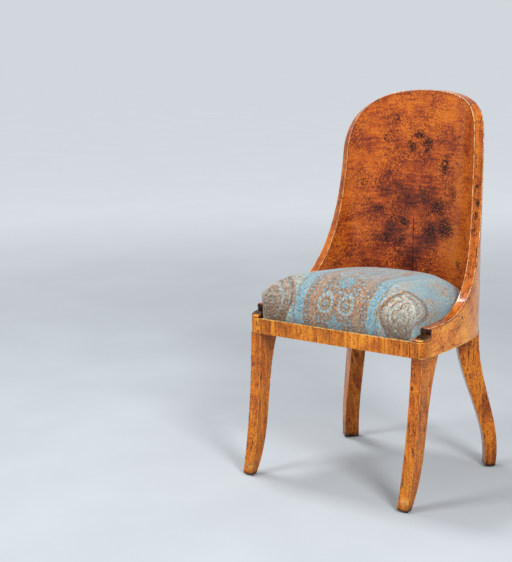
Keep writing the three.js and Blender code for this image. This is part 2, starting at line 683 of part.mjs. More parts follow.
const upright = { front: 0, side: 0, lean: 0 };
const overLip = { front: 1, side: 0, lean: 0 };
const overArms = { front: 1, side: 1, lean: 1 };

/** The outline drawn in by an inset at one height, with shares of the seat's swellings and of its lean. */
function seatRing(inset, height, { front, side, lean } = upright) {
  return outline.map(({ x, y, outX, outY }) => {
    const forward = front * PAD_BULGE * Math.max(0, -outY) ** 2;
    const sideways = side * PAD_OVERHANG * outX ** 2 * Math.max(0, 1 - y / PAD_OVERHANG_REACH);
    const out = forward + sideways - inset;
    return new THREE.Vector3(x + out * outX, y + out * outY, height + lean * PAD_LEAN * (1 - y / PAD_MIDDLE));
  });
}

/** Heights of the crown's foot and of its middle, a skin's thickness inside the seat's outermost form. */
function crownHeights(skin) {
  const foot = PAD_SIDE_TOP + (PAD_ROUND - skin) * Math.sin(PAD_SHOULDER);
  return { foot, top: PAD_SIDE_TOP + PAD_ROUND * Math.sin(PAD_SHOULDER) + PAD_CROWN - skin };
}

/** Rings of the seat's upper surface, lying a skin's thickness inside its outermost form, from a bottom upwards. */
function seatRings(skin, bottom) {
  const { foot, top } = crownHeights(skin);
  const shoulderInset = skin + (PAD_ROUND - skin) * (1 - Math.cos(PAD_SHOULDER));
  const edge = seatRing(shoulderInset, foot, overArms);
  const dome = DOME_SHARES.map((share) =>
    edge.map(({ x, y, z }) => {
      const height = foot + share * (z - foot) + (top - foot) * (1 - share ** PAD_FULLNESS);
      return new THREE.Vector3(x * share, PAD_MIDDLE + (y - PAD_MIDDLE) * share, height);
    }),
  );
  return [
    ...bottom,
    seatRing(skin, BULGE_HEIGHT + skin, overLip),
    seatRing(skin, ARM_HEIGHT + SEAT_CLEARANCE, overLip),
    seatRing(skin, PAD_SIDE_TOP, overArms),
    edge,
    ...dome,
  ];
}

function crownPoint(skin) {
  return new THREE.Vector3(0, PAD_MIDDLE, crownHeights(skin).top);
}

/** The stuffing: crowned, with upright sides that draw in at the foot. */
function stuffing() {
  const bottom = [seatRing(FRAME_INSET + STUFFING_TUCK, PAD_BOTTOM)];
  const floor = new THREE.Vector3(0, PAD_MIDDLE, PAD_BOTTOM);
  return domed(floor, seatRings(FRAME_INSET, bottom), crownPoint(FRAME_INSET));
}

/** The cover: one skin over the crown, down the sides and turned in below the frame. */
function cover() {
  const foot = (skin) => [
    seatRing(COVER_TURN, SEAT_BOTTOM + skin),
    seatRing(skin, SEAT_BOTTOM + skin),
    seatRing(skin, RAIL_TOP + JOINT + skin),
  ];
  const outside = seatRings(0, foot(0));
  const inside = seatRings(COVER, foot(COVER));
  return domed(crownPoint(0), [...outside.reverse(), ...inside], crownPoint(COVER));
}

const flat = (ring) => ring.map((point) => new THREE.Vector2(point.x, point.y));
const frameOutline = flat(seatRing(FRAME_INSET, 0));
const openingDepth = SEAT_DEPTH + FRAME_INSET + FRAME_WIDTH;
const frameBack = SHELL_DEPTH - openingDepth - LAP_LENGTH;
const frameFront = SEAT_FRONT + FRAME_INSET + FRAME_WIDTH;
const frameSide = HALF_WIDTH - openingDepth;
const frameMiddle = FRAME_BOTTOM + FRAME_THICKNESS / 2;
const FAR = 2 * FRONT_WIDTH;

/** The seat frame before it is cut into its four rails: its opening follows the shell and has a straight front. */
function frameBlank() {
  const end = runAt(frameFront, openingDepth);
  const opening = flat(runsBetween(-end, end).map((run) => shellPoint(run, RAIL_BOTTOM, openingDepth)));
  const hole = plate(opening, FRAME_BOTTOM - PAST, FRAME_TOP + PAST);
  return cut(plate(frameOutline, FRAME_BOTTOM, FRAME_TOP), hole);
}

/** The front and back rails keep the lower half at the corners, and the side rails the upper half. */
function seatFrame() {
  const blank = frameBlank();
  const rearSide = openingHalf(frameBack);
  const upper = [frameMiddle, FRAME_TOP + PAST];
  const wholeHeight = [FRAME_BOTTOM - PAST, FRAME_TOP + PAST];
  const frontLap = box([frameSide, FAR], [-FAR, frameFront + PAST], upper);
  const backLap = box([rearSide - LAP_LENGTH, FAR], [frameBack - PAST, FAR], upper);
  const front = cut(
    common(blank, box([-FAR, FAR], [-FAR, frameFront], wholeHeight)),
    frontLap,
    mirrored(frontLap),
  );
  const back = cut(
    common(blank, box([-FAR, FAR], [frameBack, FAR], wholeHeight)),
    backLap,
    mirrored(backLap),
  );
  const laps = [frameMiddle + JOINT, FRAME_TOP + PAST];
  const side = common(
    blank,
    join(
      box([0, FAR], [frameFront + JOINT, frameBack - JOINT], wholeHeight),
      box([frameSide + JOINT, FAR], [-FAR, frameFront + PAST], laps),
      box([rearSide - LAP_LENGTH + JOINT, FAR], [frameBack - PAST, FAR], laps),
    ),
  );
  return { front, back, side };
}

/** The middles of the straps that share out the opening between two of its sides. */
function spaced(from, to) {
  return Array.from({ length: WEB_COUNT }, (_, i) => from + ((i + 1) * (to - from)) / (WEB_COUNT + 1));
}

/** A webbing strap of the given length, lying level and rising over every crossing marked as over. */
function strap(length, crossings) {
  const rise = WEB + JOINT;
  const clear = crossings[1][0] - crossings[0][0] - WEB_WIDTH;
  const flatHalf = WEB_WIDTH / 2 + Math.min(WEB_EASE, clear / 3);
  const line = [[-length / 2, 0]];
  for (const [place, over] of crossings) {
    line.push([place - flatHalf, over ? rise : 0], [place + flatHalf, over ? rise : 0]);
  }
  line.push([length / 2, 0]);
  const lower = line.map(([place, level]) => new THREE.Vector2(place, WEB_BOTTOM + level));
  const upper = lower.map((point) => new THREE.Vector2(point.x, point.y + WEB));
  return sawn([...lower, ...upper.reverse()], -WEB_WIDTH / 2, WEB_WIDTH / 2);
}

/** Half the width of the frame's opening at a distance from the front. */
function openingHalf(y) {
  return shellPoint(runAt(y, openingDepth), 0, openingDepth).x;
}

/** How far back the frame's opening reaches at a distance from the middle line. */
function openingBack(x) {
  const run = planRuns.find((place) => shellPoint(place, 0, openingDepth).x >= x);
  return shellPoint(run, 0, openingDepth).y;
}

// The assembly

const object = new THREE.Group();
const chair = new THREE.Group();
const seat = new THREE.Group();
object.add(chair);
chair.add(seat);

function add(group, name, geometry, finish) {
  const piece = new THREE.Mesh(geometry, new THREE.MeshStandardMaterial(finish));
  piece.name = name;
  group.add(piece);
  return piece;
}

function addPair(group, name, geometry, finish) {
  add(group, name + "_right", geometry, finish);
  add(group, name + "_left", mirrored(geometry), finish);
}

// Shell: coopered staves, a leaf of veneer on each face of each half, and the lipping
const middleJoint = JOINT / 2;
const staveWidth = (PANEL_END - middleJoint) / STAVES;
for (let i = 0; i < STAVES; i++) {
  const from = middleJoint + i * staveWidth;
  const to = from + staveWidth - (i < STAVES - 1 ? JOINT : 0);
  const stave = shellPanel(from, to, CORE_OUTER, CORE_INNER);
  const shaped = i === STAVES - 1 ? cut(stave, mortiseFor(...frontTenon)) : stave;
  addPair(chair, "shell_stave_" + (i + 1), shaped, CORE_WOOD);
}
addPair(chair, "outer_veneer", shellPanel(middleJoint, PANEL_END, 0, VENEER), BURR);
addPair(chair, "inner_veneer", shellPanel(middleJoint, PANEL_END, SHELL_THICKNESS - VENEER, SHELL_THICKNESS), BURR);
addPair(chair, "edge_lipping", edgeBand(), LIGHT_BURR);

// Seat rail
addPair(chair, "corner_block", cornerBlock(), LIGHT_BURR);
add(chair, "front_rail", frontRail(), CORE_WOOD);
const veneerHalf = blockInner - JOINT;
add(chair, "front_rail_veneer", box([-veneerHalf, veneerHalf], [0, VENEER], [RAIL_BOTTOM, RAIL_TOP]), LIGHT_BURR);
const sideBearerFront = runAt(RAIL_DEPTH + JOINT, BEARER_OUTER);
const blockFront = rearLegRun + CORNER_BLOCK_HALF;
const blockRear = rearLegRun - CORNER_BLOCK_HALF;
addPair(chair, "side_bearer", bearer(blockFront + JOINT, sideBearerFront, BEARER_WIDTH), CORE_WOOD);
addPair(chair, "rear_corner_block", rearCornerBlock(), CORE_WOOD);
add(chair, "back_bearer", bearer(-blockRear + JOINT, blockRear - JOINT, BEARER_WIDTH), CORE_WOOD);
addPair(chair, "front_glue_block", glueBlock(), CORE_WOOD);

// Legs
const front = frontLeg();
const rear = rearLeg();
addPair(chair, "front_leg", front.leg, LEG_WOOD);
addPair(chair, "rear_leg", rear.leg.applyMatrix4(rearLegPlace()), LEG_WOOD);
addPair(chair, "front_glide", front.glide, GLIDE_STEEL);
addPair(chair, "rear_glide", rear.glide.applyMatrix4(rearLegPlace()), GLIDE_STEEL);

// Drop-in seat, which lifts out
const frame = seatFrame();
add(seat, "seat_frame_front", frame.front, BEECH);
add(seat, "seat_frame_back", frame.back, BEECH);
addPair(seat, "seat_frame_side", frame.side, BEECH);

const webColumns = spaced(-openingHalf(frameFront), openingHalf(frameFront));
const webRows = spaced(frameFront, openingBack(0));
const columnNames = ["left", "middle", "right"];
const rowNames = ["front", "middle", "back"];
webColumns.forEach((x, i) => {
  const start = frameFront - WEB_TURN;
  const end = openingBack(Math.abs(x) + WEB_WIDTH / 2) + WEB_TURN;
  const middle = (start + end) / 2;
  const crossings = webRows.map((y, j) => [y - middle, (i + j) % 2 === 1]);
  const piece = add(seat, "webbing_lengthwise_" + columnNames[i], strap(end - start, crossings), JUTE);
  piece.position.set(x, middle, 0);
});
webRows.forEach((y, j) => {
  const length = 2 * (openingHalf(y + WEB_WIDTH / 2) + WEB_TURN);
  const crossings = webColumns.map((x, i) => [x, (i + j) % 2 === 0]);
  const piece = add(seat, "webbing_crosswise_" + rowNames[j], strap(length, crossings), JUTE);
  piece.rotation.z = -Math.PI / 2;
  piece.position.set(0, y, 0);
});
const hessianOutline = flat(seatRing(FRAME_INSET + HESSIAN_INSET, 0));
add(seat, "hessian", plate(hessianOutline, HESSIAN_BOTTOM, HESSIAN_BOTTOM + HESSIAN), JUTE);
add(seat, "stuffing", stuffing(), HORSEHAIR);
add(seat, "seat_cover", cover(), SHAWL_CLOTH);

// The origin: on the floor, in the middle of the chair's length and width
const extent = new THREE.Box3().setFromObject(chair);
chair.position.y = -(extent.min.y + extent.max.y) / 2;

export default object;
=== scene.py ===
"""The looks of a klismos chair: a gondola shell in burr veneer on sabre legs, and a seat in woven cloth.

Metres. X runs across the chair, Y from front to back and Z up from the floor. Measures from the front count
from the face of the front rail, as in the chair's source, and FACE_Y moves them to their place.
"""
import logging
import math
from dataclasses import dataclass, field
from enum import Enum
from functools import cached_property

import bmesh
import bpy
import numpy as np
from mathutils import Matrix, Vector


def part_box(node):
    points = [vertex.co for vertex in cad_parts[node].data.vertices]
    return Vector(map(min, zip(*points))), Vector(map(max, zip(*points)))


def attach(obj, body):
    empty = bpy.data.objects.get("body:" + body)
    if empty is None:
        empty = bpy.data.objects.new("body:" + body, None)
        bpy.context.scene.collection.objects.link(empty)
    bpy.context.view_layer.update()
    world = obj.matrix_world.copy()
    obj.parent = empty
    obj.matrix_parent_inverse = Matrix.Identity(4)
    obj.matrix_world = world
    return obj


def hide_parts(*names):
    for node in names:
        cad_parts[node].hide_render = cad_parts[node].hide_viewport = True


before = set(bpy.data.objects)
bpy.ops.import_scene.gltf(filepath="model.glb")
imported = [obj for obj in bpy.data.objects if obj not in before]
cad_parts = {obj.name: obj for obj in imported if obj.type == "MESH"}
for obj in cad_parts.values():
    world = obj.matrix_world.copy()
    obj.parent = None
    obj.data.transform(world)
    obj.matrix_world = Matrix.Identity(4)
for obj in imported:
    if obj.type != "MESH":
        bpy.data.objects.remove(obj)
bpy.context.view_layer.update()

LOG = logging.getLogger("chair")

Array = np.ndarray
Colour = tuple[float, float, float, float]
FACE_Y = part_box("front_rail_veneer")[0].y
RAIL_BOTTOM = 0.333
RAIL_TOP = 0.369
REBATE_FLOOR = 0.356
HALF_WIDTH = 0.235
VENEER = 0.0012
GLUE_LINE = 0.0003


class Side(Enum):
    """A side of the chair, with the sign of its X."""

    RIGHT = 1
    LEFT = -1

    @property
    def suffix(self) -> str:
        """The ending of the names of this side's pieces."""
        return "_" + self.name.lower()


def srgb(red: float, green: float, blue: float) -> Colour:
    """A colour as a shader takes it.

    Args:
        red: Its red, as a screen shows it, from 0 to 255.
        green: Its green.
        blue: Its blue.

    Returns:
        The colour in linear light, with an alpha of 1.
    """

    def linear(value: float) -> float:
        share = value / 255
        return share / 12.92 if share <= 0.04045 else ((share + 0.055) / 1.055) ** 2.4

    return linear(red), linear(green), linear(blue), 1.0


def cubic(points: Array, share: Array) -> Array:
    """Points of a cubic curve.

    Args:
        points: Its four handles, one a row.
        share: Places along it, from 0 to 1.

    Returns:
        One point a row.
    """
    s = np.asarray(share, float)[:, None]
    a, b, c, d = np.asarray(points, float)
    return (1 - s) ** 3 * a + 3 * s * (1 - s) ** 2 * b + 3 * s * s * (1 - s) * c + s**3 * d


def slopes(line: Array) -> Array:
    """Unit directions along a line of points, one a row."""
    steps = np.gradient(line, axis=0)
    return steps / np.linalg.norm(steps, axis=1)[:, None]


def lengths(line: Array) -> Array:
    """How far along a line each of its points lies."""
    return np.r_[0, np.cumsum(np.linalg.norm(np.diff(line, axis=0), axis=1))]


# Meshes


def make_mesh(
    name: str, points: Array, faces: list, marks: dict[str, Array] | None = None, sharp: float = 40
) -> bpy.types.Object:
    """A smooth-shaded object with marks on its points.

    Args:
        name: The piece's name.
        points: Its points, one a row.
        faces: Indices of each face's points.
        marks: Values or vectors for each point, by attribute name.
        sharp: The angle in degrees above which an edge stays crisp.

    Returns:
        The object, linked to the scene.
    """
    mesh = bpy.data.meshes.new(name)
    mesh.from_pydata([tuple(p) for p in points], [], [tuple(int(i) for i in f) for f in faces])
    mesh.update()
    for mark, values in (marks or {}).items():
        set_mark(mesh, mark, values)
    mesh.shade_smooth()
    mesh.set_sharp_from_angle(angle=math.radians(sharp))
    piece = bpy.data.objects.new(name, mesh)
    bpy.context.scene.collection.objects.link(piece)
    return piece


def set_mark(mesh: bpy.types.Mesh, mark: str, values: Array) -> None:
    """Writes a value or a vector on each point of a mesh.

    Args:
        mesh: The mesh.
        mark: The attribute's name.
        values: One value, or three, for each point.
    """
    values = np.asarray(values, np.float32)
    kind = "FLOAT_VECTOR" if values.ndim == 2 else "FLOAT"
    layer = mesh.attributes.new(mark, kind, "POINT")
    layer.data.foreach_set("vector" if values.ndim == 2 else "value", values.ravel())


def side_faces(rings: int, size: int, closed: bool = True, base: int = 0) -> list[tuple[int, ...]]:
    """Faces between rings of equal size.

    Args:
        rings: How many rings there are.
        size: Points to a ring.
        closed: Whether each ring closes on itself.
        base: The index of the first ring's first point.

    Returns:
        Indices of each face's points.
    """
    faces = []
    for i in range(rings - 1):
        here, above = base + i * size, base + (i + 1) * size
        for j in range(size if closed else size - 1):
            k = (j + 1) % size
            faces.append((here + j, here + k, above + k, above + j))
    return faces


def end_faces(rings: int, size: int) -> list[tuple[int, ...]]:
    """Faces across the first and the last of some closed rings.

    Args:
        rings: How many rings there are.
        size: Points to a ring, an even number.

    Returns:
        Indices of each face's points.
    """
    faces = []
    last = (rings - 1) * size
    for j in range(size // 2 - 1):
        k = size - 1 - j
        faces.append((j, k, k - 1, j + 1))
        faces.append((last + j, last + j + 1, last + k - 1, last + k))
    return faces


def fan(centre: int, start: int, size: int) -> list[tuple[int, ...]]:
    """Triangles from a centre to each side of a closed ring.

    Args:
        centre: The index of the centre.
        start: The index of the ring's first point.
        size: Points to the ring.

    Returns:
        Indices of each face's points.
    """
    return [(centre, start + j, start + (j + 1) % size) for j in range(size)]


def turned_over(faces: list) -> list[tuple[int, ...]]:
    """Faces that look the other way."""
    return [tuple(reversed(face)) for face in faces]


def loft(name: str, rings: Array, marks: dict[str, Array], sharp: float = 40) -> bpy.types.Object:
    """A closed bar through rings of an even number of points.

    Args:
        name: The piece's name.
        rings: Its rings, as rings by points by three.
        marks: Values or vectors for each ring's points, by attribute name.
        sharp: The angle in degrees above which an edge stays crisp.

    Returns:
        The piece.
    """
    count, size = rings.shape[:2]
    flat = {mark: v.reshape(-1) if v.ndim == 2 else v.reshape(-1, 3) for mark, v in marks.items()}
    points = rings.reshape(-1, 3)
    faces = side_faces(count, size) + end_faces(count, size)
    return make_mesh(name, points, outward(points, faces), flat, sharp)


def outward(points: Array, faces: list) -> list:
    """The faces of a closed form, all turned over if they face inwards.

    Args:
        points: The form's points, one a row.
        faces: Indices of each face's points.

    Returns:
        The faces.
    """
    volume = 0.0
    for face in faces:
        a = points[face[0]]
        for b, c in zip(face[1:-1], face[2:]):
            volume += float(np.dot(a, np.cross(points[b], points[c])))
    return turned_over(faces) if volume < 0 else faces


def mirrored(points: Array, side: Side) -> Array:
    """A right-hand form's points on the given side."""
    return points * np.array([side.value, 1, 1])


# The chair's plan and its edge line


CROWN_STEPS = 84
SWEEP_STEPS = 122
NOSE_STEPS = 9
COVE_STEPS = 8


@dataclass
class Plan:
    """The horseshoe plan of the shell, and the line of its edge.

    A place on it is a run round its outside from the middle of the back, a height and a depth into the wood.
    """

    depth: float = 0.397
    back_height: float = 0.881
    rake: float = 0.010
    rear_handle: float = 0.186
    side_handle: float = 0.327
    side_flare: float = 0.001
    thickness: float = 0.0235
    band: float = 0.003
    crown_handle: float = 0.1846
    shoulder_reach: float = 0.224
    shoulder_drop: float = 0.152
    shoulder_spread: float = 0.07
    shoulder_handle: float = 0.0628
    sweep_dip: float = 0.0142
    arm_rise: float = 0.028
    arm_handle: float = 0.099
    arm_setback: float = 0.028
    arm_nose: float = 0.004
    arm_cove: float = 0.0015
    ledge_rise: float = 0.013
    line: Array = field(init=False)
    along: Array = field(init=False)
    run: Array = field(init=False)
    arm_end: float = field(init=False)
    panel_end: float = field(init=False)

    def __post_init__(self) -> None:
        """Tabulates the plan's curve, and places the arm's end and the veneers' end on it."""
        handles = [
            (0, self.depth),
            (self.rear_handle, self.depth),
            (HALF_WIDTH + self.side_flare, self.side_handle),
            (HALF_WIDTH, 0),
        ]
        self.line = cubic(np.array(handles), np.linspace(0, 1, 4001))
        self.along = slopes(self.line)
        self.run = lengths(self.line)
        self.arm_end = float(self.run[-1]) - self.arm_setback
        self.panel_end = self.arm_end - self.arm_cove - self.band - GLUE_LINE

    def lean(self, height: Array) -> Array:
        """How far the shell leans back at each height."""
        return self.rake * np.clip(height - RAIL_TOP, 0, None) / (self.back_height - RAIL_TOP)

    def at(self, run: Array, height: Array, depth: Array) -> Array:
        """Points of the shell.

        Args:
            run: Runs round its outside, 0 or more.
            height: Heights above the floor.
            depth: Depths into the wood.

        Returns:
            One point a row, in its place in the chair.
        """
        run, height, depth = np.broadcast_arrays(run, height, depth)
        x, y = (np.interp(run, self.run, self.line[:, i]) for i in (0, 1))
        tx, ty = (np.interp(run, self.run, self.along[:, i]) for i in (0, 1))
        return np.stack([x + depth * ty, y - depth * tx + self.lean(height) + FACE_Y, height], -1)

    def turn(self, run: float) -> float:
        """How far the plan has turned from the middle of the back to a run."""
        tx, ty = (np.interp(run, self.run, self.along[:, i]) for i in (0, 1))
        return math.atan2(-ty, tx)

    def run_at(self, y: float, depth: float) -> float:
        """The run at which the shell has come to a distance y from the front, at a depth into the wood."""
        behind = self.line[:, 1] - depth * self.along[:, 0] > y
        return float(self.run[behind][-1])

    def edge(self) -> tuple[Array, Array]:
        """The edge line, from the middle of the crown to the ledge below the arm.

        Returns:
            Its points in run and height, and their directions into the wood.
        """
        arm = RAIL_TOP + self.arm_rise
        shoulder = np.array([self.shoulder_reach, self.back_height - self.shoulder_drop])
        fall = np.array([self.shoulder_spread, -1.0])
        ledge = RAIL_TOP + self.ledge_rise
        top = self.back_height
        crown = [(0, top), (self.crown_handle, top), shoulder - fall * self.shoulder_handle, shoulder]
        reach = shoulder[1] - arm + self.sweep_dip
        nose_run, nose_height = self.arm_end - self.arm_nose, arm - self.arm_nose
        sweep = [shoulder, shoulder + fall * reach, (self.arm_end - self.arm_handle, arm), (nose_run, arm)]
        turn = np.linspace(math.pi / 2, 0, NOSE_STEPS)
        nose = np.array([nose_run, nose_height]) + self.arm_nose * np.stack([np.cos(turn), np.sin(turn)], -1)
        half = (nose_height + ledge) / 2
        end = self.arm_end - self.arm_cove
        cove = [(self.arm_end, nose_height), (self.arm_end, half), (end, half), (end, ledge + GLUE_LINE)]
        parts = [
            cubic(np.array(crown), np.linspace(0, 1, CROWN_STEPS)),
            cubic(np.array(sweep), np.linspace(0, 1, SWEEP_STEPS))[1:],
            nose[1:],
            cubic(np.array(cove), np.linspace(0, 1, COVE_STEPS))[1:],
        ]
        line = np.concatenate(parts)
        direction = slopes(line)
        return line, np.stack([direction[:, 1], -direction[:, 0]], -1)

    def panel_top(self) -> Array:
        """Where the veneers stop below the lipping, in run and height, as far as the arm's rounded end."""
        line, inward = self.edge()
        return (line + inward * (self.band + GLUE_LINE))[: CROWN_STEPS + SWEEP_STEPS - 1]


# Shader nodes


class Graph:
    """Writes shader nodes into a material or a group."""

    def __init__(self, tree: bpy.types.NodeTree) -> None:
        """Takes the node tree to write into."""
        self.tree = tree

    def put(self, socket: bpy.types.NodeSocket, value: object) -> None:
        """Links a socket, or sets it to a plain value.

        Args:
            socket: The socket.
            value: The value, as a plain one, a socket or a `Value`.
        """
        if isinstance(value, Value):
            value = value.socket
        if isinstance(value, bpy.types.NodeSocket):
            self.tree.links.new(value, socket)
        else:
            socket.default_value = value

    def node(self, kind: str, inputs: dict | None = None, **settings: object) -> bpy.types.Node:
        """A node of the given kind.

        Args:
            kind: The node's type, without its leading ShaderNode.
            inputs: Its inputs, by name or by index.
            settings: Its properties.

        Returns:
            The node.
        """
        made = self.tree.nodes.new("ShaderNode" + kind)
        for key, value in settings.items():
            setattr(made, key, value)
        for key, value in (inputs or {}).items():
            self.put(made.inputs[key], value)
        return made

    def value(self, socket: bpy.types.NodeSocket) -> "Value":
        """A socket as a value that arithmetic works on."""
        return Value(self, socket)

    def mark(self, name: str, vector: bool = False) -> "Value":
        """An attribute that the mesh carries."""
        made = self.node("Attribute", attribute_name=name)
        return self.value(made.outputs["Vector" if vector else "Fac"])

    def place(self) -> "Value":
        """Where a point lies, in the object's own frame."""
        return self.value(self.node("TexCoord").outputs["Object"])

    def scaled(self, vector: object, scale: tuple[float, float, float]) -> "Value":
        """A vector stretched along each axis."""
        return self.value(self.node("VectorMath", {0: vector, 1: scale}, operation="MULTIPLY").outputs[0])

    def split(self, vector: object) -> tuple["Value", "Value", "Value"]:
        """The three parts of a vector."""
        made = self.node("SeparateXYZ", {0: vector})
        return tuple(self.value(made.outputs[i]) for i in range(3))

    def join(self, x: object, y: object, z: object = 0.0) -> "Value":
        """A vector from its three parts."""
        return self.value(self.node("CombineXYZ", {0: x, 1: y, 2: z}).outputs[0])

    def noise(
        self, vector: object, scale: object, detail: float = 3, rough: float = 0.5, twist: float = 0
    ) -> "Value":
        """Cloudy noise, from 0 to 1."""
        inputs = {"Vector": vector, "Scale": scale, "Detail": detail, "Roughness": rough, "Distortion": twist}
        return self.value(self.node("TexNoise", inputs).outputs["Fac"])

    def shifted(self, vector: object, scale: float, amount: float, detail: float = 2) -> "Value":
        """A vector moved about by noise.

        Args:
            vector: The vector.
            scale: The noise's scale.
            amount: How far it moves a point, at most.
            detail: The noise's detail.

        Returns:
            The moved vector.
        """
        made = self.node("TexNoise", {"Vector": vector, "Scale": scale, "Detail": detail})
        middle = (0.5, 0.5, 0.5)
        centred = self.node("VectorMath", {0: made.outputs["Color"], 1: middle}, operation="SUBTRACT")
        sized = self.node("VectorMath", {0: centred.outputs[0], "Scale": 2 * amount}, operation="SCALE")
        moved = self.node("VectorMath", {0: vector, 1: sized.outputs[0]}, operation="ADD")
        return self.value(moved.outputs[0])

    def cells(self, vector: object, scale: object, feature: str = "F1", spread: float = 1) -> "Value":
        """Distance to scattered points, or to the edges between their cells."""
        inputs = {"Vector": vector, "Scale": scale, "Randomness": spread}
        made = self.node("TexVoronoi", inputs, feature=feature)
        return self.value(made.outputs["Distance"])

    def fit(self, value: object, low: float, high: float, to_low: float = 0, to_high: float = 1) -> "Value":
        """A value carried smoothly from one range to another, and held inside it."""
        inputs = {"Value": value, "From Min": low, "From Max": high, "To Min": to_low, "To Max": to_high}
        made = self.node("MapRange", inputs, interpolation_type="SMOOTHSTEP", clamp=True)
        return self.value(made.outputs["Result"])

    def band(self, value: "Value", middle: float, outer: float, inner: float) -> "Value":
        """A mask that is 1 near one level of a value, up to inner from it, and 0 from outer on."""
        return self.fit((value - middle).size(), outer, inner)

    def mix(self, below: object, above: object, share: object) -> "Value":
        """A colour laid over another by a share from 0 to 1."""
        made = self.node("Mix", {}, data_type="RGBA", clamp_factor=True)
        for index, value in ((0, share), (6, below), (7, above)):
            self.put(made.inputs[index], value)
        return self.value(made.outputs[2])

    def layers(self, colour: object, *coats: tuple[object, object]) -> "Value":
        """Colours laid over one another.

        Args:
            colour: The lowest colour.
            coats: Each colour above it, with its share from 0 to 1.

        Returns:
            The colour that shows.
        """
        for above, share in coats:
            colour = self.mix(colour, above, share)
        return colour

    def ramp(self, value: object, stops: list[tuple[float, tuple]], hold: bool = False) -> "Value":
        """A colour looked up by a value.

        Args:
            value: The value, from 0 to 1.
            stops: Places and colours.
            hold: Whether each colour holds up to the next instead of fading to it.

        Returns:
            The colour.
        """
        made = self.node("ValToRGB", {0: value})
        bar = made.color_ramp
        bar.interpolation = "CONSTANT" if hold else "LINEAR"
        while len(bar.elements) < len(stops):
            bar.elements.new(1)
        for element, (where, colour) in zip(bar.elements, stops):
            element.position, element.color = where, colour
        return self.value(made.outputs["Color"])

    def bump(self, height: object, distance: float, strength: float = 1, normal: object = None) -> "Value":
        """A normal tilted by a height.

        Args:
            height: The height.
            distance: How far the surface rises where the height is 1.
            strength: How strongly it shows.
            normal: The normal to tilt, if it isn't the surface's own.

        Returns:
            The normal.
        """
        inputs = {"Height": height, "Distance": distance, "Strength": strength}
        if normal is not None:
            inputs["Normal"] = normal
        return self.value(self.node("Bump", inputs).outputs["Normal"])

    def rays(self, *kinds: str) -> "Value":
        """Whether a ray is of one of the given kinds.

        Args:
            kinds: The kinds, such as Camera or Glossy.

        Returns:
            1 on such a ray, or else 0.
        """
        path = self.node("LightPath")
        first, *others = (self.value(path.outputs[f"Is {kind} Ray"]) for kind in kinds)
        for other in others:
            first = first.either(other)
        return first

    def use(self, group: bpy.types.NodeTree, inputs: dict[str, object]) -> dict[str, "Value"]:
        """A shared effect placed in this tree.

        Args:
            group: The effect's node group.
            inputs: Its inputs, by name.

        Returns:
            Its outputs, by name.
        """
        made = self.node("Group", inputs, node_tree=group)
        return {output.name: self.value(output) for output in made.outputs}

    def give(self, made: bpy.types.Node, values: dict[str, object]) -> None:
        """Links or sets some inputs of a node, by name."""
        for name, value in values.items():
            self.put(made.inputs[name], value)


class Value:
    """A value that changes over a surface, with arithmetic that adds nodes."""

    def __init__(self, graph: Graph, socket: bpy.types.NodeSocket) -> None:
        """Takes the graph that the value belongs to, and the socket that gives it."""
        self.graph, self.socket = graph, socket

    def math(self, operation: str, *others: object) -> "Value":
        """The result of a Math node on this value and others."""
        inputs = {i: other for i, other in enumerate((self, *others))}
        return self.graph.value(self.graph.node("Math", inputs, operation=operation).outputs[0])

    def __add__(self, other: object) -> "Value":
        """Their sum."""
        return self.math("ADD", other)

    def __sub__(self, other: object) -> "Value":
        """Their difference."""
        return self.math("SUBTRACT", other)

    def __mul__(self, other: object) -> "Value":
        """Their product."""
        return self.math("MULTIPLY", other)

    def __truediv__(self, other: object) -> "Value":
        """Their quotient."""
        return self.math("DIVIDE", other)

    def less_from(self, other: float) -> "Value":
        """Another value less this one."""
        return self.graph.value(self.graph.node("Math", {0: other, 1: self}, operation="SUBTRACT").outputs[0])

    def either(self, other: object) -> "Value":
        """The larger of the two."""
        return self.math("MAXIMUM", other)

    def size(self) -> "Value":
        """The value without its sign."""
        return self.math("ABSOLUTE")


@dataclass(frozen=True)
class Effect:
    """An effect that several materials share: a node group with named inputs and outputs."""

    name: str
    inputs: tuple[tuple[str, str, object], ...]
    outputs: tuple[tuple[str, str], ...]

    def open(self) -> tuple[bpy.types.NodeTree, Graph, dict[str, Value], bpy.types.Node]:
        """Makes the empty group.

        Returns:
            The group, its graph, its inputs by name, and its output node.
        """
        tree = bpy.data.node_groups.new(self.name, "ShaderNodeTree")
        for name, kind, default in self.inputs:
            socket = tree.interface.new_socket(name=name, in_out="INPUT", socket_type="NodeSocket" + kind)
            if default is not None:
                socket.default_value = default
        for name, kind in self.outputs:
            tree.interface.new_socket(name=name, in_out="OUTPUT", socket_type="NodeSocket" + kind)
        graph = Graph(tree)
        given = tree.nodes.new("NodeGroupInput")
        made = tree.nodes.new("NodeGroupOutput")
        return tree, graph, {s.name: graph.value(s) for s in given.outputs if s.name}, made


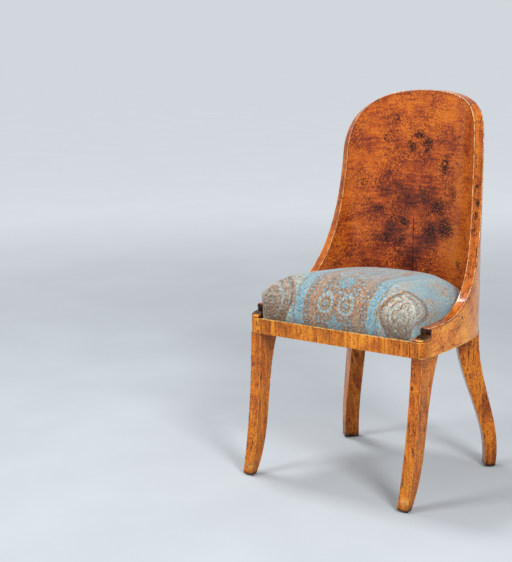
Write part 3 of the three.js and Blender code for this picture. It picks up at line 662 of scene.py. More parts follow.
class Effects:
    """The shared effects, each built once."""

    def __init__(self) -> None:
        """Builds every group."""
        self.figure = self.burr_figure()
        self.wear = self.arris_wear_and_highlight()
        self.polish = self.french_polish()
        self.grain = self.straight_grain()
        self.weave = self.plain_weave()

    def burr_figure(self) -> bpy.types.NodeTree:
        """Burr wood: clouds of tone, a mottle of curling fibre, a ripple across it, and clusters of eyes.

        Returns:
            The group.
        """
        effect = Effect(
            "Burr figure",
            (
                ("Place", "Vector", None), ("Crowding", "Float", 0.5), ("Rippling", "Float", 0.5),
                ("Mottling", "Float", 1.0),
            ),
            (("Tone", "Float"), ("Eyes", "Float"), ("Glints", "Float"), ("Height", "Float")),
        )
        tree, g, given, made = effect.open()
        place = given["Place"]
        cloud = g.noise(g.shifted(place, 12, 0.012, 3), 15, 3, 0.6)
        mottle = g.noise(g.shifted(place, 55, 0.005), 200, 3, 0.7, 0.9)
        speck = g.noise(place, 460, 2, 0.7)
        ripple = g.noise(g.scaled(g.shifted(place, 30, 0.004), (0.14, 1, 1)), 150, 2, 0.55)
        lively = g.fit(g.noise(place, 17, 2, 0.5), 0.40, 0.60, 0.35, 1.15)
        tone = (cloud - 0.5) * 1.2 + (mottle - 0.5) * given["Mottling"] * lively * 2.6 + (speck - 0.5) * 1.5
        tone = tone + (ripple - 0.5) * given["Rippling"] * lively.less_from(1.7) + 0.5
        near = g.cells(g.shifted(place, 90, 0.0022), 180)
        crowds = g.noise(place, 26, 2, 0.55)
        eyes = g.fit(near, 0.34, 0.14) * g.fit(crowds + given["Crowding"] * 0.3, 0.56, 0.76)
        glints = g.fit(mottle, 0.56, 0.70) * g.fit(speck, 0.45, 0.6)
        height = mottle * 0.6 + speck * 0.3 - eyes * 0.5
        g.give(made, {"Tone": tone, "Eyes": eyes, "Glints": glints, "Height": height})
        return tree

    def arris_wear_and_highlight(self) -> bpy.types.NodeTree:
        """Wear along an arris, and painted highlight: rubbed pale in places, which also paints the highlight
        that an arris catches, and dark where polish has gathered.

        Returns:
            The group.
        """
        effect = Effect(
            "Arris wear and highlight",
            (("Arris", "Float", 0.0), ("Place", "Vector", None)),
            (("Rubbed and lit", "Float"), ("Dark", "Float")),
        )
        tree, g, given, made = effect.open()
        broken = g.noise(given["Place"], 60, 4, 0.6)
        specks = g.noise(given["Place"], 420, 2, 0.6)
        # The pale line on the arrises is wear and painted highlight together.
        rubbed = g.fit(given["Arris"] * (broken * 1.3 + 0.12) + (specks - 0.5) * 0.5, 0.54, 0.84)
        patches = g.noise(given["Place"], 38, 3, 0.6)
        dark = g.fit(given["Arris"] * patches, 0.40, 0.60) * g.fit(specks, 0.42, 0.58)
        g.give(made, {"Rubbed and lit": rubbed, "Dark": dark})
        return tree

    def french_polish(self) -> bpy.types.NodeTree:
        """Old french polish: a slight swell, fine crazing and rubbed patches.

        Returns:
            The group.
        """
        effect = Effect(
            "French polish",
            (("Place", "Vector", None), ("Gloss", "Float", 0.25)),
            (("Roughness", "Float"), ("Height", "Float")),
        )
        tree, g, given, made = effect.open()
        swell = g.noise(given["Place"], 22, 2, 0.5)
        rubs = g.noise(given["Place"], 75, 4, 0.65)
        crazing = g.cells(given["Place"], 260, feature="DISTANCE_TO_EDGE")
        line = g.fit(crazing, 0.0, 0.06, 1, 0)
        roughness = given["Gloss"] + g.fit(rubs, 0.35, 0.75, -0.05, 0.14) + line * 0.03
        g.give(made, {"Roughness": roughness, "Height": swell + rubs * 0.12 - line * 0.03})
        return tree

    def straight_grain(self) -> bpy.types.NodeTree:
        """Plain wood whose grain runs along Y of the given place: bands, flecks and pores.

        Returns:
            The group.
        """
        effect = Effect(
            "Straight grain",
            (("Place", "Vector", None), ("Bands", "Float", 60.0)),
            (("Band", "Float"), ("Fleck", "Float"), ("Height", "Float")),
        )
        tree, g, given, made = effect.open()
        flowing = g.shifted(given["Place"], 9, 0.006, 2)
        band = g.noise(g.scaled(flowing, (1, 0.06, 1)), given["Bands"], 4, 0.6, 0.3)
        fleck = g.fit(g.noise(g.scaled(flowing, (1, 0.16, 1)), 260, 3, 0.65), 0.575, 0.64)
        pores = g.fit(g.noise(g.scaled(flowing, (1, 0.05, 1)), 1300, 1, 0.6), 0.55, 0.72)
        g.give(made, {"Band": band, "Fleck": fleck, "Height": band * 0.4 - pores * 0.6 - fleck * 0.2})
        return tree

    def plain_weave(self) -> bpy.types.NodeTree:
        """Threads that cross over and under, by the first two parts of the given place.

        Returns:
            The group.
        """
        effect = Effect(
            "Plain weave",
            (("Place", "Vector", None), ("Threads", "Float", 600.0)),
            (("Height", "Float"), ("Shade", "Float")),
        )
        tree, g, given, made = effect.open()
        across, along, _ = g.split(g.shifted(given["Place"], 140, 0.0004, 1))
        wave_x, wave_y = ((place * given["Threads"] * math.pi).math("SINE") for place in (across, along))
        over = (wave_x * wave_y).math("GREATER_THAN", 0.0)
        height = over * wave_x.size() + over.less_from(1) * wave_y.size()
        thick = g.noise(g.scaled(given["Place"], (1, 0.15, 1)), given["Threads"], 2, 0.6)
        g.give(made, {"Height": height, "Shade": height * (thick * 0.7 + 0.5)})
        return tree


def new_material(name: str) -> tuple[bpy.types.Material, Graph, bpy.types.Node]:
    """An empty material.

    Args:
        name: Its name.

    Returns:
        The material, its graph and its Principled BSDF.
    """
    material = bpy.data.materials.new(name)
    material.use_nodes = True
    shader = next(n for n in material.node_tree.nodes if n.type == "BSDF_PRINCIPLED")
    return material, Graph(material.node_tree), shader


@dataclass(frozen=True)
class Patch:
    """A place on a leaf of veneer, in run and height, with its half width and half height.

    Its strength says how black its knots are or, for a stain, how much darker it is than the leaf round it.
    """

    run: float
    height: float
    width: float
    tall: float
    strength: float = 1.0

    def share(self, g: Graph, run: Value, height: Value) -> Value:
        """How far a point belongs to the patch, fading out to 0 at its rim.

        Args:
            g: The material's graph.
            run: The point's run.
            height: Its height.

        Returns:
            The share, times the patch's strength.
        """
        across = (run - self.run) * (1 / self.width)
        up = (height - self.height) * (1 / self.tall)
        return g.fit(across * across + up * up, 0.0, 1.0, self.strength, 0)


class Figure(Enum):
    """How the pieces of a polished wood take their figure."""

    BURR = "burr"
    CROSS = "cross"
    STRAIGHT = "straight"


@dataclass(frozen=True)
class PolishedWood:
    """French-polished burr or figured wood.

    The place comes from the mark leaf, which each mesh carries: X across the figure and Y along it.
    """

    name: str
    light: Colour
    middle: Colour
    deep: Colour
    knot: Colour
    pale: Colour
    figure: Figure = Figure.BURR
    crowding: float = 0.5
    rippling: float = 0.5
    mottling: float = 1.0
    streaks: float = 0.6
    straying: float = 0.010
    gloss: float = 0.22
    tone: float = 0.0
    knots: tuple[Patch, ...] = ()
    stains: tuple[Patch, ...] = ()
    joint_run: float | None = None

    def build(self, effects: Effects) -> bpy.types.Material:
        """Makes the material.

        Args:
            effects: The shared effects.

        Returns:
            The material.
        """
        material, g, shader = new_material(self.name)
        leaf = g.mark("leaf", vector=True)
        run, tall, _ = g.split(leaf)
        traits = {"Crowding": self.crowding, "Rippling": self.rippling, "Mottling": self.mottling}
        burr = g.use(effects.figure, {"Place": leaf, **traits})
        tone = burr["Tone"] + self.tone
        for stain in self.stains:
            tone = tone + stain.share(g, run, tall)
        colour = g.ramp(tone, [(0.22, self.light), (0.46, self.middle), (0.72, self.deep), (0.98, self.knot)])
        colour = g.mix(colour, self.pale, burr["Glints"] * 0.30)
        height = burr["Height"]
        if self.figure is not Figure.BURR:
            grain = g.use(effects.grain, {"Place": leaf, "Bands": 110.0})
            colour = g.layers(
                colour,
                (self.deep, g.fit(grain["Band"], 0.5, 0.68) * self.streaks),
                (self.light, g.fit(grain["Band"], 0.48, 0.34) * self.streaks),
                (self.knot, grain["Fleck"] * 0.85),
            )
            height = height + grain["Height"] * 0.6
        black = self.black_knots(g, leaf)
        colour = g.layers(colour, (self.knot, burr["Eyes"] * 0.75), (srgb(26, 12, 10), black))
        height = height - black * 0.8
        if self.joint_run is not None:
            seam = self.seam(g, leaf, run, tall)
            colour = g.mix(colour, srgb(26, 10, 8), seam)
            height = height - seam
        # The pale arris line is partly wear and partly a painted highlight.
        worn = g.use(effects.wear, {"Arris": g.mark("arris"), "Place": leaf})
        # Darkens the wood by the mark read here: dirt and dark joints in places, and painted shade under the
        # arms' noses, on the corner blocks' ledges and quirks, and at the legs' tops under the rail.
        soiled_and_shaded = g.mark("soil") * g.fit(g.noise(leaf, 90, 3), 0.3, 0.6, 0.82, 1.0)
        colour = g.layers(
            colour,
            (self.pale, worn["Rubbed and lit"] * 0.8),
            (srgb(40, 18, 9), worn["Dark"] * 0.7),
            (srgb(30, 15, 10), soiled_and_shaded),
        )
        polish = g.use(effects.polish, {"Place": leaf, "Gloss": self.gloss})
        skin = g.bump(height, 0.0001, 0.4)
        g.give(shader, {
            "Base Color": colour,
            "Roughness": polish["Roughness"] + worn["Rubbed and lit"] * 0.12 + black * 0.1,
            "Normal": g.bump(polish["Height"], 0.0005, 0.4, skin),
            "Specular IOR Level": 0.1,
            "Coat Weight": 0.45,
            "Coat Roughness": 0.06,
            "Coat IOR": 1.35,
        })
        return material

    def seam(self, g: Graph, leaf: Value, run: Value, tall: Value) -> Value:
        """The open joint between two leaves of veneer, which closes towards the top.

        Args:
            g: The material's graph.
            leaf: The place on the leaf.
            run: Its run.
            tall: Its height.

        Returns:
            A mask, 1 on the joint.
        """
        wander = (g.noise(leaf, 60, 2) - 0.5) * 0.0016
        line = g.fit((run - self.joint_run + wander).size(), 0.0016, 0.0007)
        return line * g.fit(tall, 0.585, 0.565) * g.fit(g.noise(leaf, 34, 2), 0.20, 0.28)

    def black_knots(self, g: Graph, leaf: Value) -> Value:
        """The black specks, thick in the patches of knots and rare elsewhere.

        Args:
            g: The material's graph.
            leaf: The place on the leaf.

        Returns:
            A mask, 1 on the specks.
        """
        near = g.fit(g.noise(leaf, 24, 2), 0.5, 0.7, 0.0, self.crowding * 0.3)
        wander_run, wander_tall, _ = g.split(g.shifted(leaf, 34, self.straying, 2))
        for patch in self.knots:
            near = near.either(patch.share(g, wander_run, wander_tall))
        specks = g.noise(g.shifted(leaf, 150, 0.002), 300, 2, 0.75, 0.8)
        return g.fit(specks + near * 0.205, 0.650, 0.672)


@dataclass(frozen=True)
class PlainWood:
    """Sawn wood without polish, for what the seat and the veneers hide."""

    name: str
    light: Colour
    dark: Colour
    turned: bool = False

    def build(self, effects: Effects) -> bpy.types.Material:
        """Makes the material, whose grain runs along X or, where turned, along Y or up.

        Args:
            effects: The shared effects.

        Returns:
            The material.
        """
        material, g, shader = new_material(self.name)
        x, y, z = g.split(g.place())
        place = g.join(y + z * 0.4, x, z) if not self.turned else g.join(x, y * 0.6 + z, y * 0.4)
        grain = g.use(effects.grain, {"Place": place, "Bands": 55.0})
        dust = g.noise(g.place(), 40, 4, 0.6)
        colour = g.layers(
            g.ramp(grain["Band"], [(0.3, self.light), (0.7, self.dark)]),
            (srgb(92, 62, 38), grain["Fleck"] * 0.35),
            (srgb(96, 76, 56), g.fit(dust, 0.45, 0.75) * 0.45),
        )
        g.give(shader, {
            "Base Color": colour,
            "Roughness": g.fit(dust, 0.3, 0.7, 0.62, 0.85),
            "Normal": g.bump(grain["Height"], 0.0003, 0.5),
        })
        return material


@dataclass(frozen=True)
class JuteWeave:
    """Coarse jute, as webbing or as hessian, with a stripe at a distance from its middle if that isn't 0."""

    name: str
    light: Colour
    dark: Colour
    threads: float
    stripe: float = 0.0

    def build(self, effects: Effects) -> bpy.types.Material:
        """Makes the material, woven along the mark cloth.

        Args:
            effects: The shared effects.

        Returns:
            The material.
        """
        material, g, shader = new_material(self.name)
        cloth = g.mark("cloth", vector=True)
        woven = g.use(effects.weave, {"Place": cloth, "Threads": self.threads})
        tone = g.noise(g.scaled(cloth, (1, 0.1, 1)), 300, 3, 0.6)
        colour = g.mix(self.dark, self.light, g.fit(woven["Shade"] * 0.7 + tone * 0.6, 0.25, 0.85))
        if self.stripe:
            across, _, _ = g.split(cloth)
            line = g.band(across.size(), self.stripe, 0.0021, 0.0016)
            colour = g.mix(colour, srgb(70, 46, 30), line * 0.7)
        g.give(shader, {
            "Base Color": colour,
            "Roughness": g.fit(tone, 0.3, 0.7, 0.85, 0.98),
            "Normal": g.bump(woven["Height"], 0.0006, 0.7),
        })
        return material


@dataclass(frozen=True)
class GlideSteel:
    """Dark, scuffed steel."""

    name: str = "Glide steel"
    dark: Colour = srgb(46, 43, 41)
    dull: Colour = srgb(74, 62, 54)
    rusted: Colour = srgb(92, 58, 38)

    def build(self) -> bpy.types.Material:
        """Makes the material.

        Returns:
            The material.
        """
        material, g, shader = new_material(self.name)
        rust = g.noise(g.place(), 400, 4, 0.6)
        g.give(shader, {
            "Base Color": g.ramp(rust, [(0.35, self.dark), (0.6, self.dull), (0.75, self.rusted)]),
            "Roughness": g.fit(rust, 0.3, 0.7, 0.35, 0.7),
            "Normal": g.bump(rust, 0.0002, 0.4),
            "Metallic": 0.8,
        })
        return material


@dataclass(frozen=True)
class ShawlCloth:
    """A woven shawl cloth with stripes, roundels and leaf scrolls, laid out by the mark cloth."""

    name: str = "Shawl cloth"
    blue: Colour = srgb(100, 160, 182)
    deep_blue: Colour = srgb(54, 98, 116)
    tan: Colour = srgb(152, 114, 74)
    brown: Colour = srgb(110, 78, 46)
    rust: Colour = srgb(170, 106, 56)
    cream: Colour = srgb(200, 190, 168)
    pale_cream: Colour = srgb(226, 214, 188)
    light_slub: Colour = srgb(214, 206, 184)
    dark_slub: Colour = srgb(56, 50, 42)
    rear_blue: Colour = srgb(128, 168, 182)
    shade: Colour = srgb(52, 48, 44)
    bleached: Colour = srgb(150, 164, 164)

    def build(self, effects: Effects) -> bpy.types.Material:
        """Makes the material.

        Args:
            effects: The shared effects.

        Returns:
            The material.
        """
        material, g, shader = new_material(self.name)
        cloth = g.mark("cloth", vector=True)
        fine = g.shifted(cloth, 90, 0.0012, 2)
        moved = g.scaled(fine, (1000, 1000, 1000))
        across, along, _ = g.split(moved)
        off = across.size()
        folded = g.join(off * 0.001, along * 0.001)
        colour = self.stripes(g, off, folded)
        colour = self.roundels(g, colour, off, along)
        colour = self.leaves(g, colour, across, along, folded)
        woven = g.use(effects.weave, {"Place": cloth, "Threads": 900.0})
        slub = g.noise(g.scaled(cloth, (1, 0.6, 1)), 260, 3, 0.85)
        swapped = g.noise(g.scaled(cloth, (1, 0.7, 1)), 170, 2, 0.75)
        rear = g.fit(along, 20, 150) * g.fit(g.noise(g.scaled(cloth, (1, 0.2, 1)), 60, 2), 0.4, 0.56)
        faded = g.noise(cloth, 8, 2, 0.5)
        colour = g.layers(
            colour,
            (self.light_slub, g.fit(slub, 0.53, 0.61) * 0.5),
            (self.dark_slub, g.fit(slub, 0.48, 0.39) * 0.6),
            (self.rust, g.fit(swapped, 0.57, 0.62) * 0.22),
            (self.blue, g.fit(swapped, 0.43, 0.38) * 0.22),
            (self.rear_blue, rear * 0.55),
            (self.shade, woven["Shade"].less_from(1) * 0.14),
            (self.bleached, g.fit(faded, 0.42, 0.72) * 0.12),
        )
        g.give(shader, {
            "Base Color": colour,
            "Roughness": g.fit(slub, 0.3, 0.7, 0.74, 0.92),
            "Normal": g.bump(woven["Height"] * 0.6 + slub, 0.0005, 0.5),
            "Sheen Weight": 0.2,
            "Sheen Roughness": 0.45,
            "Specular IOR Level": 0.25,
        })
        return material

    def scrolls(self, g: Graph, place: Value, scale: float, wander: float) -> Value:
        """Thin curling lines.

        Args:
            g: The material's graph.
            place: The place on the cloth, in metres.
            scale: How close the lines lie.
            wander: How far they wander.

        Returns:
            A mask, 1 on the lines.
        """
        bent = g.shifted(g.shifted(place, 38, wander, 1), 110, wander * 0.35, 1)
        cells = g.cells(bent, scale, feature="DISTANCE_TO_EDGE", spread=0.75)
        return g.band(cells, 0.16, 0.13, 0.05)

    def stripes(self, g: Graph, off: Value, folded: Value) -> Value:
        """The stripes that run from front to back, and the fine scrolls on them.

        Args:
            g: The material's graph.
            off: Distance from the middle of the cloth, in millimetres.
            folded: The place on the cloth, alike on both sides of its middle.

        Returns:
            Their colour.
        """
        stops = (
            (0, self.brown), (50, self.rust), (55, self.tan), (58, self.deep_blue), (60, self.tan),
            (64, self.rust), (66, self.brown), (84, self.tan), (86, self.blue), (93, self.tan),
            (94.5, self.blue), (110, self.tan), (112, self.blue),
        )
        reach = 240
        colour = g.ramp(off * (1 / reach), [(place / reach, colour) for place, colour in stops], hold=True)
        lines, small = self.scrolls(g, folded, 78, 0.006), self.scrolls(g, folded, 150, 0.003)
        inner, outer = g.fit(off, 88, 84), g.fit(off, 112, 122)
        beads = (g.split(folded)[1] * 700).math("SINE")
        strip, bar = g.band(off, 75, 7.5, 6), g.band(off, 98, 11, 9)
        streaks = g.fit(g.noise(g.scaled(folded, (1, 0.35, 1)), 42, 2, 0.6, 0.8), 0.50, 0.58)
        return g.layers(
            colour,
            (self.deep_blue, lines * inner * 0.3),
            (self.cream, small * inner * 0.3),
            (self.rust, self.scrolls(g, folded, 96, 0.007) * inner * 0.45),
            (self.blue, g.fit(beads, 0.0, 0.8) * strip * 0.45),
            (self.cream, small * bar * 0.35),
            (self.deep_blue, lines * bar * 0.2),
            (self.tan, streaks * outer * 0.7),
            (self.cream, lines * outer * 0.55),
            (self.cream, small * outer * 0.25),
        )

    def roundels(self, g: Graph, colour: Value, off: Value, along: Value) -> Value:
        """Pairs of scrolled roundels down the middle, with a lozenge between each pair and the next.

        Args:
            g: The material's graph.
            colour: The cloth's colour so far.
            off: Distance from the middle of the cloth, in millimetres.
            along: Distance from its front, in millimetres.

        Returns:
            The colour with the roundels on it.
        """
        step = 104.0
        row = (along + step * 2.5 - 5).math("MODULO", step) - step / 2
        x = off - 27
        radius = (x * x + row * row * 0.9).math("SQRT")
        angle = row.math("ARCTAN2", x)
        coil = ((radius - angle * 1.25) * 0.80).math("SINE")
        inside = g.fit(radius, 23, 21)
        beads = (angle * 14).math("SINE")
        ring = g.band(radius, 19, 4.0, 2.4)
        far = row.size().less_from(step / 2)
        lozenge = off * 0.9 + far
        spots = g.cells(g.join(off * 0.001, along * 0.001), 74, spread=0.35)
        between = g.fit(far, 34, 28) * g.fit(off, 52, 46)
        return g.layers(
            colour,
            (self.tan, inside * 0.85),
            (self.blue, g.fit(radius, 9, 6) * 0.6),
            (self.deep_blue, inside * g.fit(coil, 0.0, 0.8) * 0.4),
            (self.cream, inside * g.fit(coil, -0.4, -1.0) * 0.4),
            (self.blue, ring * 0.75),
            (self.cream, ring * g.fit(beads, -0.2, 0.6) * 0.7),
            (self.rust, g.band(radius, 24, 1.8, 0.8) * 0.7),
            (self.blue, g.fit(lozenge, 22, 17) * 0.7),
            (self.rust, g.fit(lozenge, 9, 6) * 0.7),
            (self.blue, g.fit(spots, 0.40, 0.30) * between * 0.65),
            (self.cream, g.fit(spots, 0.18, 0.10) * between * 0.8),
        )

    def leaves(self, g: Graph, colour: Value, across: Value, along: Value, folded: Value) -> Value:
        """Large curled leaves beyond the stripes, one above the other, each ringed and filled with scrolls.

        Args:
            g: The material's graph.
            colour: The cloth's colour so far.
            across: The place across the cloth from its middle, in millimetres.
            along: Distance from its front, in millimetres.
            folded: The place on the cloth, alike on both sides of its middle.

        Returns:
            The colour with the leaves on it.
        """
        off = across.size()
        step = 200.0
        row = (along + step * 1.5 + 7).math("MODULO", step) - step / 2
        bend = row * row * 0.0045
        taper = g.fit(row, -76, 26, 0.4, 1.0)
        x = (off - 174 + bend * g.fit(row, -10, 10, 1, -1)) / (taper * 64)
        y = row * (1 / 76)
        reach = (x * x + y * y).math("SQRT")
        inside = g.fit(reach, 1.01, 0.97) * g.fit(along, 105, 80)
        shades = [
            (0.0, self.brown), (0.36, self.tan), (0.46, self.blue), (0.54, self.brown), (0.72, self.tan),
            (0.78, self.blue), (0.82, self.brown), (0.95, self.rust),
        ]
        head = g.fit(row, -30, 15) * g.fit(across, -20, 20, 0.35, 1)
        core = inside * g.fit(reach, 0.86, 0.78)
        lower = inside * g.fit(row, 6, -28)
        lines = self.scrolls(g, folded, 82, 0.006)
        arcs = (reach * 30).math("SINE")
        return g.layers(
            colour,
            (g.ramp(reach, shades, hold=True), inside * g.fit(x, 0.2, 0.9, 0.9, 0.5)),
            (self.pale_cream, lines * core * (head * 0.75 + 0.05)),
            (self.blue, self.scrolls(g, folded, 96, 0.006) * core * head * 0.5),
            (self.deep_blue, self.scrolls(g, folded, 130, 0.004) * inside * (head * -0.3 + 0.4)),
            (self.rust, self.scrolls(g, folded, 62, 0.008) * inside * 0.4),
            (self.pale_cream, g.fit(arcs, 0.2, 0.8) * core * head * 0.4),
            (self.brown, lower * g.fit(lines, 0, 1, 0.85, 0.5)),
        )


@dataclass(frozen=True)
class PaleFloor:
    """The plain floor of the studio, which keeps as pale as the background where the lamps' light fades."""

    name: str = "Studio floor"
    colour: Colour = srgb(188, 194, 199)
    paler: Colour = srgb(193, 199, 204)
    glow: Colour = srgb(210, 215, 219)
    near: float = 1.0
    far: float = 5.0

    def build(self) -> bpy.types.Material:
        """Makes the material, whose own light grows with the distance from the chair and lights nothing else.

        Returns:
            The material.
        """
        material, g, shader = new_material(self.name)
        place = g.place()
        tone = g.noise(place, 3, 3, 0.5)
        away = g.value(g.node("VectorMath", {0: place}, operation="LENGTH").outputs["Value"])
        seen = g.rays("Camera", "Glossy")
        g.give(shader, {
            "Base Color": g.mix(self.colour, self.paler, g.fit(tone, 0.3, 0.7)),
            "Roughness": g.fit(tone, 0.3, 0.7, 0.55, 0.65),
            "Specular IOR Level": 0.0,
            "Emission Color": self.glow,
            "Emission Strength": g.fit(away, self.near, self.far) * seen * 0.70,
        })
        return material


# The gondola shell


@dataclass
class Shell:
    """The veneers of the bent back and its sides, and the lipping round its edge."""

    plan: Plan
    inner_wood: bpy.types.Material
    outer_wood: bpy.types.Material
    lipping_wood: bpy.types.Material
    arris: float = 0.0018
    edge_rows: tuple[float, ...] = (0, 0.0012, 0.003, 0.007, 0.016)
    edge_zone: float = 0.022

    def columns(self) -> tuple[Array, Array]:
        """Where a veneer's columns of points stand.

        Returns:
            Their runs, and the heights that they reach.
        """
        top = self.plan.panel_top()
        end = self.plan.panel_end
        shown = top[(top[:, 0] > 0) & (top[:, 0] < end), 0]
        runs = np.r_[0.0, shown, np.linspace(shown[-1], end, 6)[1:]]
        return runs, np.interp(runs, top[:, 0], top[:, 1])

    def leaf(self, side: Side, outer: bool) -> bpy.types.Object:
        """One leaf of veneer.

        Args:
            side: The side of the chair.
            outer: Whether it lies on the outer face.

        Returns:
            The piece.
        """
        plan = self.plan
        face = 0.0 if outer else plan.thickness
        back = VENEER if outer else plan.thickness - VENEER
        runs, tops = self.columns()
        near = np.array(self.edge_rows)
        low, zone = RAIL_BOTTOM, self.edge_zone
        heights = np.array(
            [np.r_[low + near, np.linspace(low + zone, top - zone, 9), top - near[::-1]] for top in tops]
        )
        # The lower arris gets a pale line, partly wear and partly a painted highlight.
        worn = 1.15 * np.exp(-(((heights - low) / 0.0024) ** 2))
        grime = 0.25 * np.exp(-((tops[:, None] - heights) / 0.0022))
        run = runs[:, None]
        ends = heights[:, [-1, 0]]
        rings = np.concatenate([plan.at(run, heights, face), plan.at(run, ends, back)], 1)
        all_heights = np.concatenate([heights, ends], 1)
        unmarked = np.zeros(ends.shape)
        marks = {
            "leaf": np.stack(np.broadcast_arrays(run * side.value, all_heights, 0.3 if outer else 0.0), -1),
            "arris": np.concatenate([worn, unmarked], 1),
            "soil": np.concatenate([grime, unmarked], 1),
        }
        name, node = ("burr_outside", "outer_veneer") if outer else ("burr_inside", "inner_veneer")
        piece = loft(name + side.suffix, mirrored(rings, side), marks, 30)
        piece.data.materials.append(self.outer_wood if outer else self.inner_wood)
        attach(piece, "chair")
        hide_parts(node + side.suffix)
        return piece

    def section(self) -> tuple[Array, Array, Array]:
        """The lipping's section, round from one arris to the other and back below.

        Returns:
            For each point its depth into the wood, how far it lies inside the edge line, and its wear, which
            also sets a painted highlight on the arrises.
        """
        band, half = self.plan.band, self.plan.thickness / 2
        turn = np.linspace(0, math.pi / 2, 7)
        flat = np.linspace(self.arris, half, 5)[1:]
        depth = np.r_[0, self.arris * (1 - np.cos(turn)), flat]
        inset = np.r_[band, self.arris * (1 - np.sin(turn)), np.zeros(len(flat))]
        worn = np.r_[0, np.sin(turn), np.exp(-(((flat - self.arris) / 0.0018) ** 2))]
        depth = np.r_[depth, self.plan.thickness - depth[::-1][1:], half]
        inset = np.r_[inset, inset[::-1][1:], band]
        worn = np.r_[worn, worn[::-1][1:], worn[0]]
        return depth, inset, worn

    def lipping(self, side: Side) -> bpy.types.Object:
        """The lipping of one half, swept along the edge line with its two arrises rounded.

        Args:
            side: The side of the chair.

        Returns:
            The piece.
        """
        line, inward = self.plan.edge()
        depth, inset, worn = self.section()
        run = np.clip(line[:, :1] + inset * inward[:, :1], 0, None)
        height = line[:, 1:] + inset * inward[:, 1:]
        far = lengths(line)[:, None]
        half_nose = far[CROWN_STEPS + SWEEP_STEPS - 2 + NOSE_STEPS // 2]
        # Painted shade: the arm's end face below the middle of its nose is darkened almost to black, as if in
        # shadow under the nose.
        below_nose = np.clip((far - half_nose) / 0.0015, 0, 1)
        soil = np.maximum(np.exp(-((far[-1] - far) / 0.003)) * 0.6, below_nose)
        marks = {
            "leaf": np.stack(np.broadcast_arrays(depth, far * side.value + 0.9, inset), -1),
            "arris": np.broadcast_to(worn, run.shape),
            "soil": np.broadcast_to(soil, run.shape),
        }
        piece = loft("edge_lip" + side.suffix, mirrored(self.plan.at(run, height, depth), side), marks, 50)
        piece.data.materials.append(self.lipping_wood)
        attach(piece, "chair")
        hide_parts("edge_lipping" + side.suffix)
        return piece

    def build(self) -> list[bpy.types.Object]:
        """Makes the shell's pieces.

        Returns:
            Two leaves of veneer and the lipping for each side.
        """
        made = []
        for side in Side:
            made += [self.leaf(side, True), self.leaf(side, False), self.lipping(side)]
        return made


# The front rail and its corner blocks


@dataclass
class Joinery:
    """A mesh put together from open skins and closed prisms, with the wear of each point."""

    points: list = field(default_factory=list)
    faces: list = field(default_factory=list)
    arris: list = field(default_factory=list)

    def skin(self, rings: list[Array], wear: list[float]) -> None:
        """Adds an open skin.

        Args:
            rings: Its rows of points, all of one size.
            wear: The wear of each row.
        """
        size = len(rings[0])
        self.faces += side_faces(len(rings), size, False, len(self.points))
        self.points.extend(np.concatenate(rings))
        self.arris.extend(np.repeat(wear, size))

    def prism(self, corners: list, low: float, high: Array | float) -> None:
        """Adds a closed prism.

        Args:
            corners: Its corners in plan.
            low: Its lower height.
            high: Its upper height, alike or one for each corner.
        """
        base, size = len(self.points), len(corners)
        self.faces += side_faces(2, size, True, base)
        self.faces.append(tuple(base + j for j in reversed(range(size))))
        self.faces.append(tuple(base + size + j for j in range(size)))
        for height in (low, high):
            self.points.extend(np.column_stack([corners, np.broadcast_to(height, size)]))
        self.arris.extend([0.0] * (2 * size))


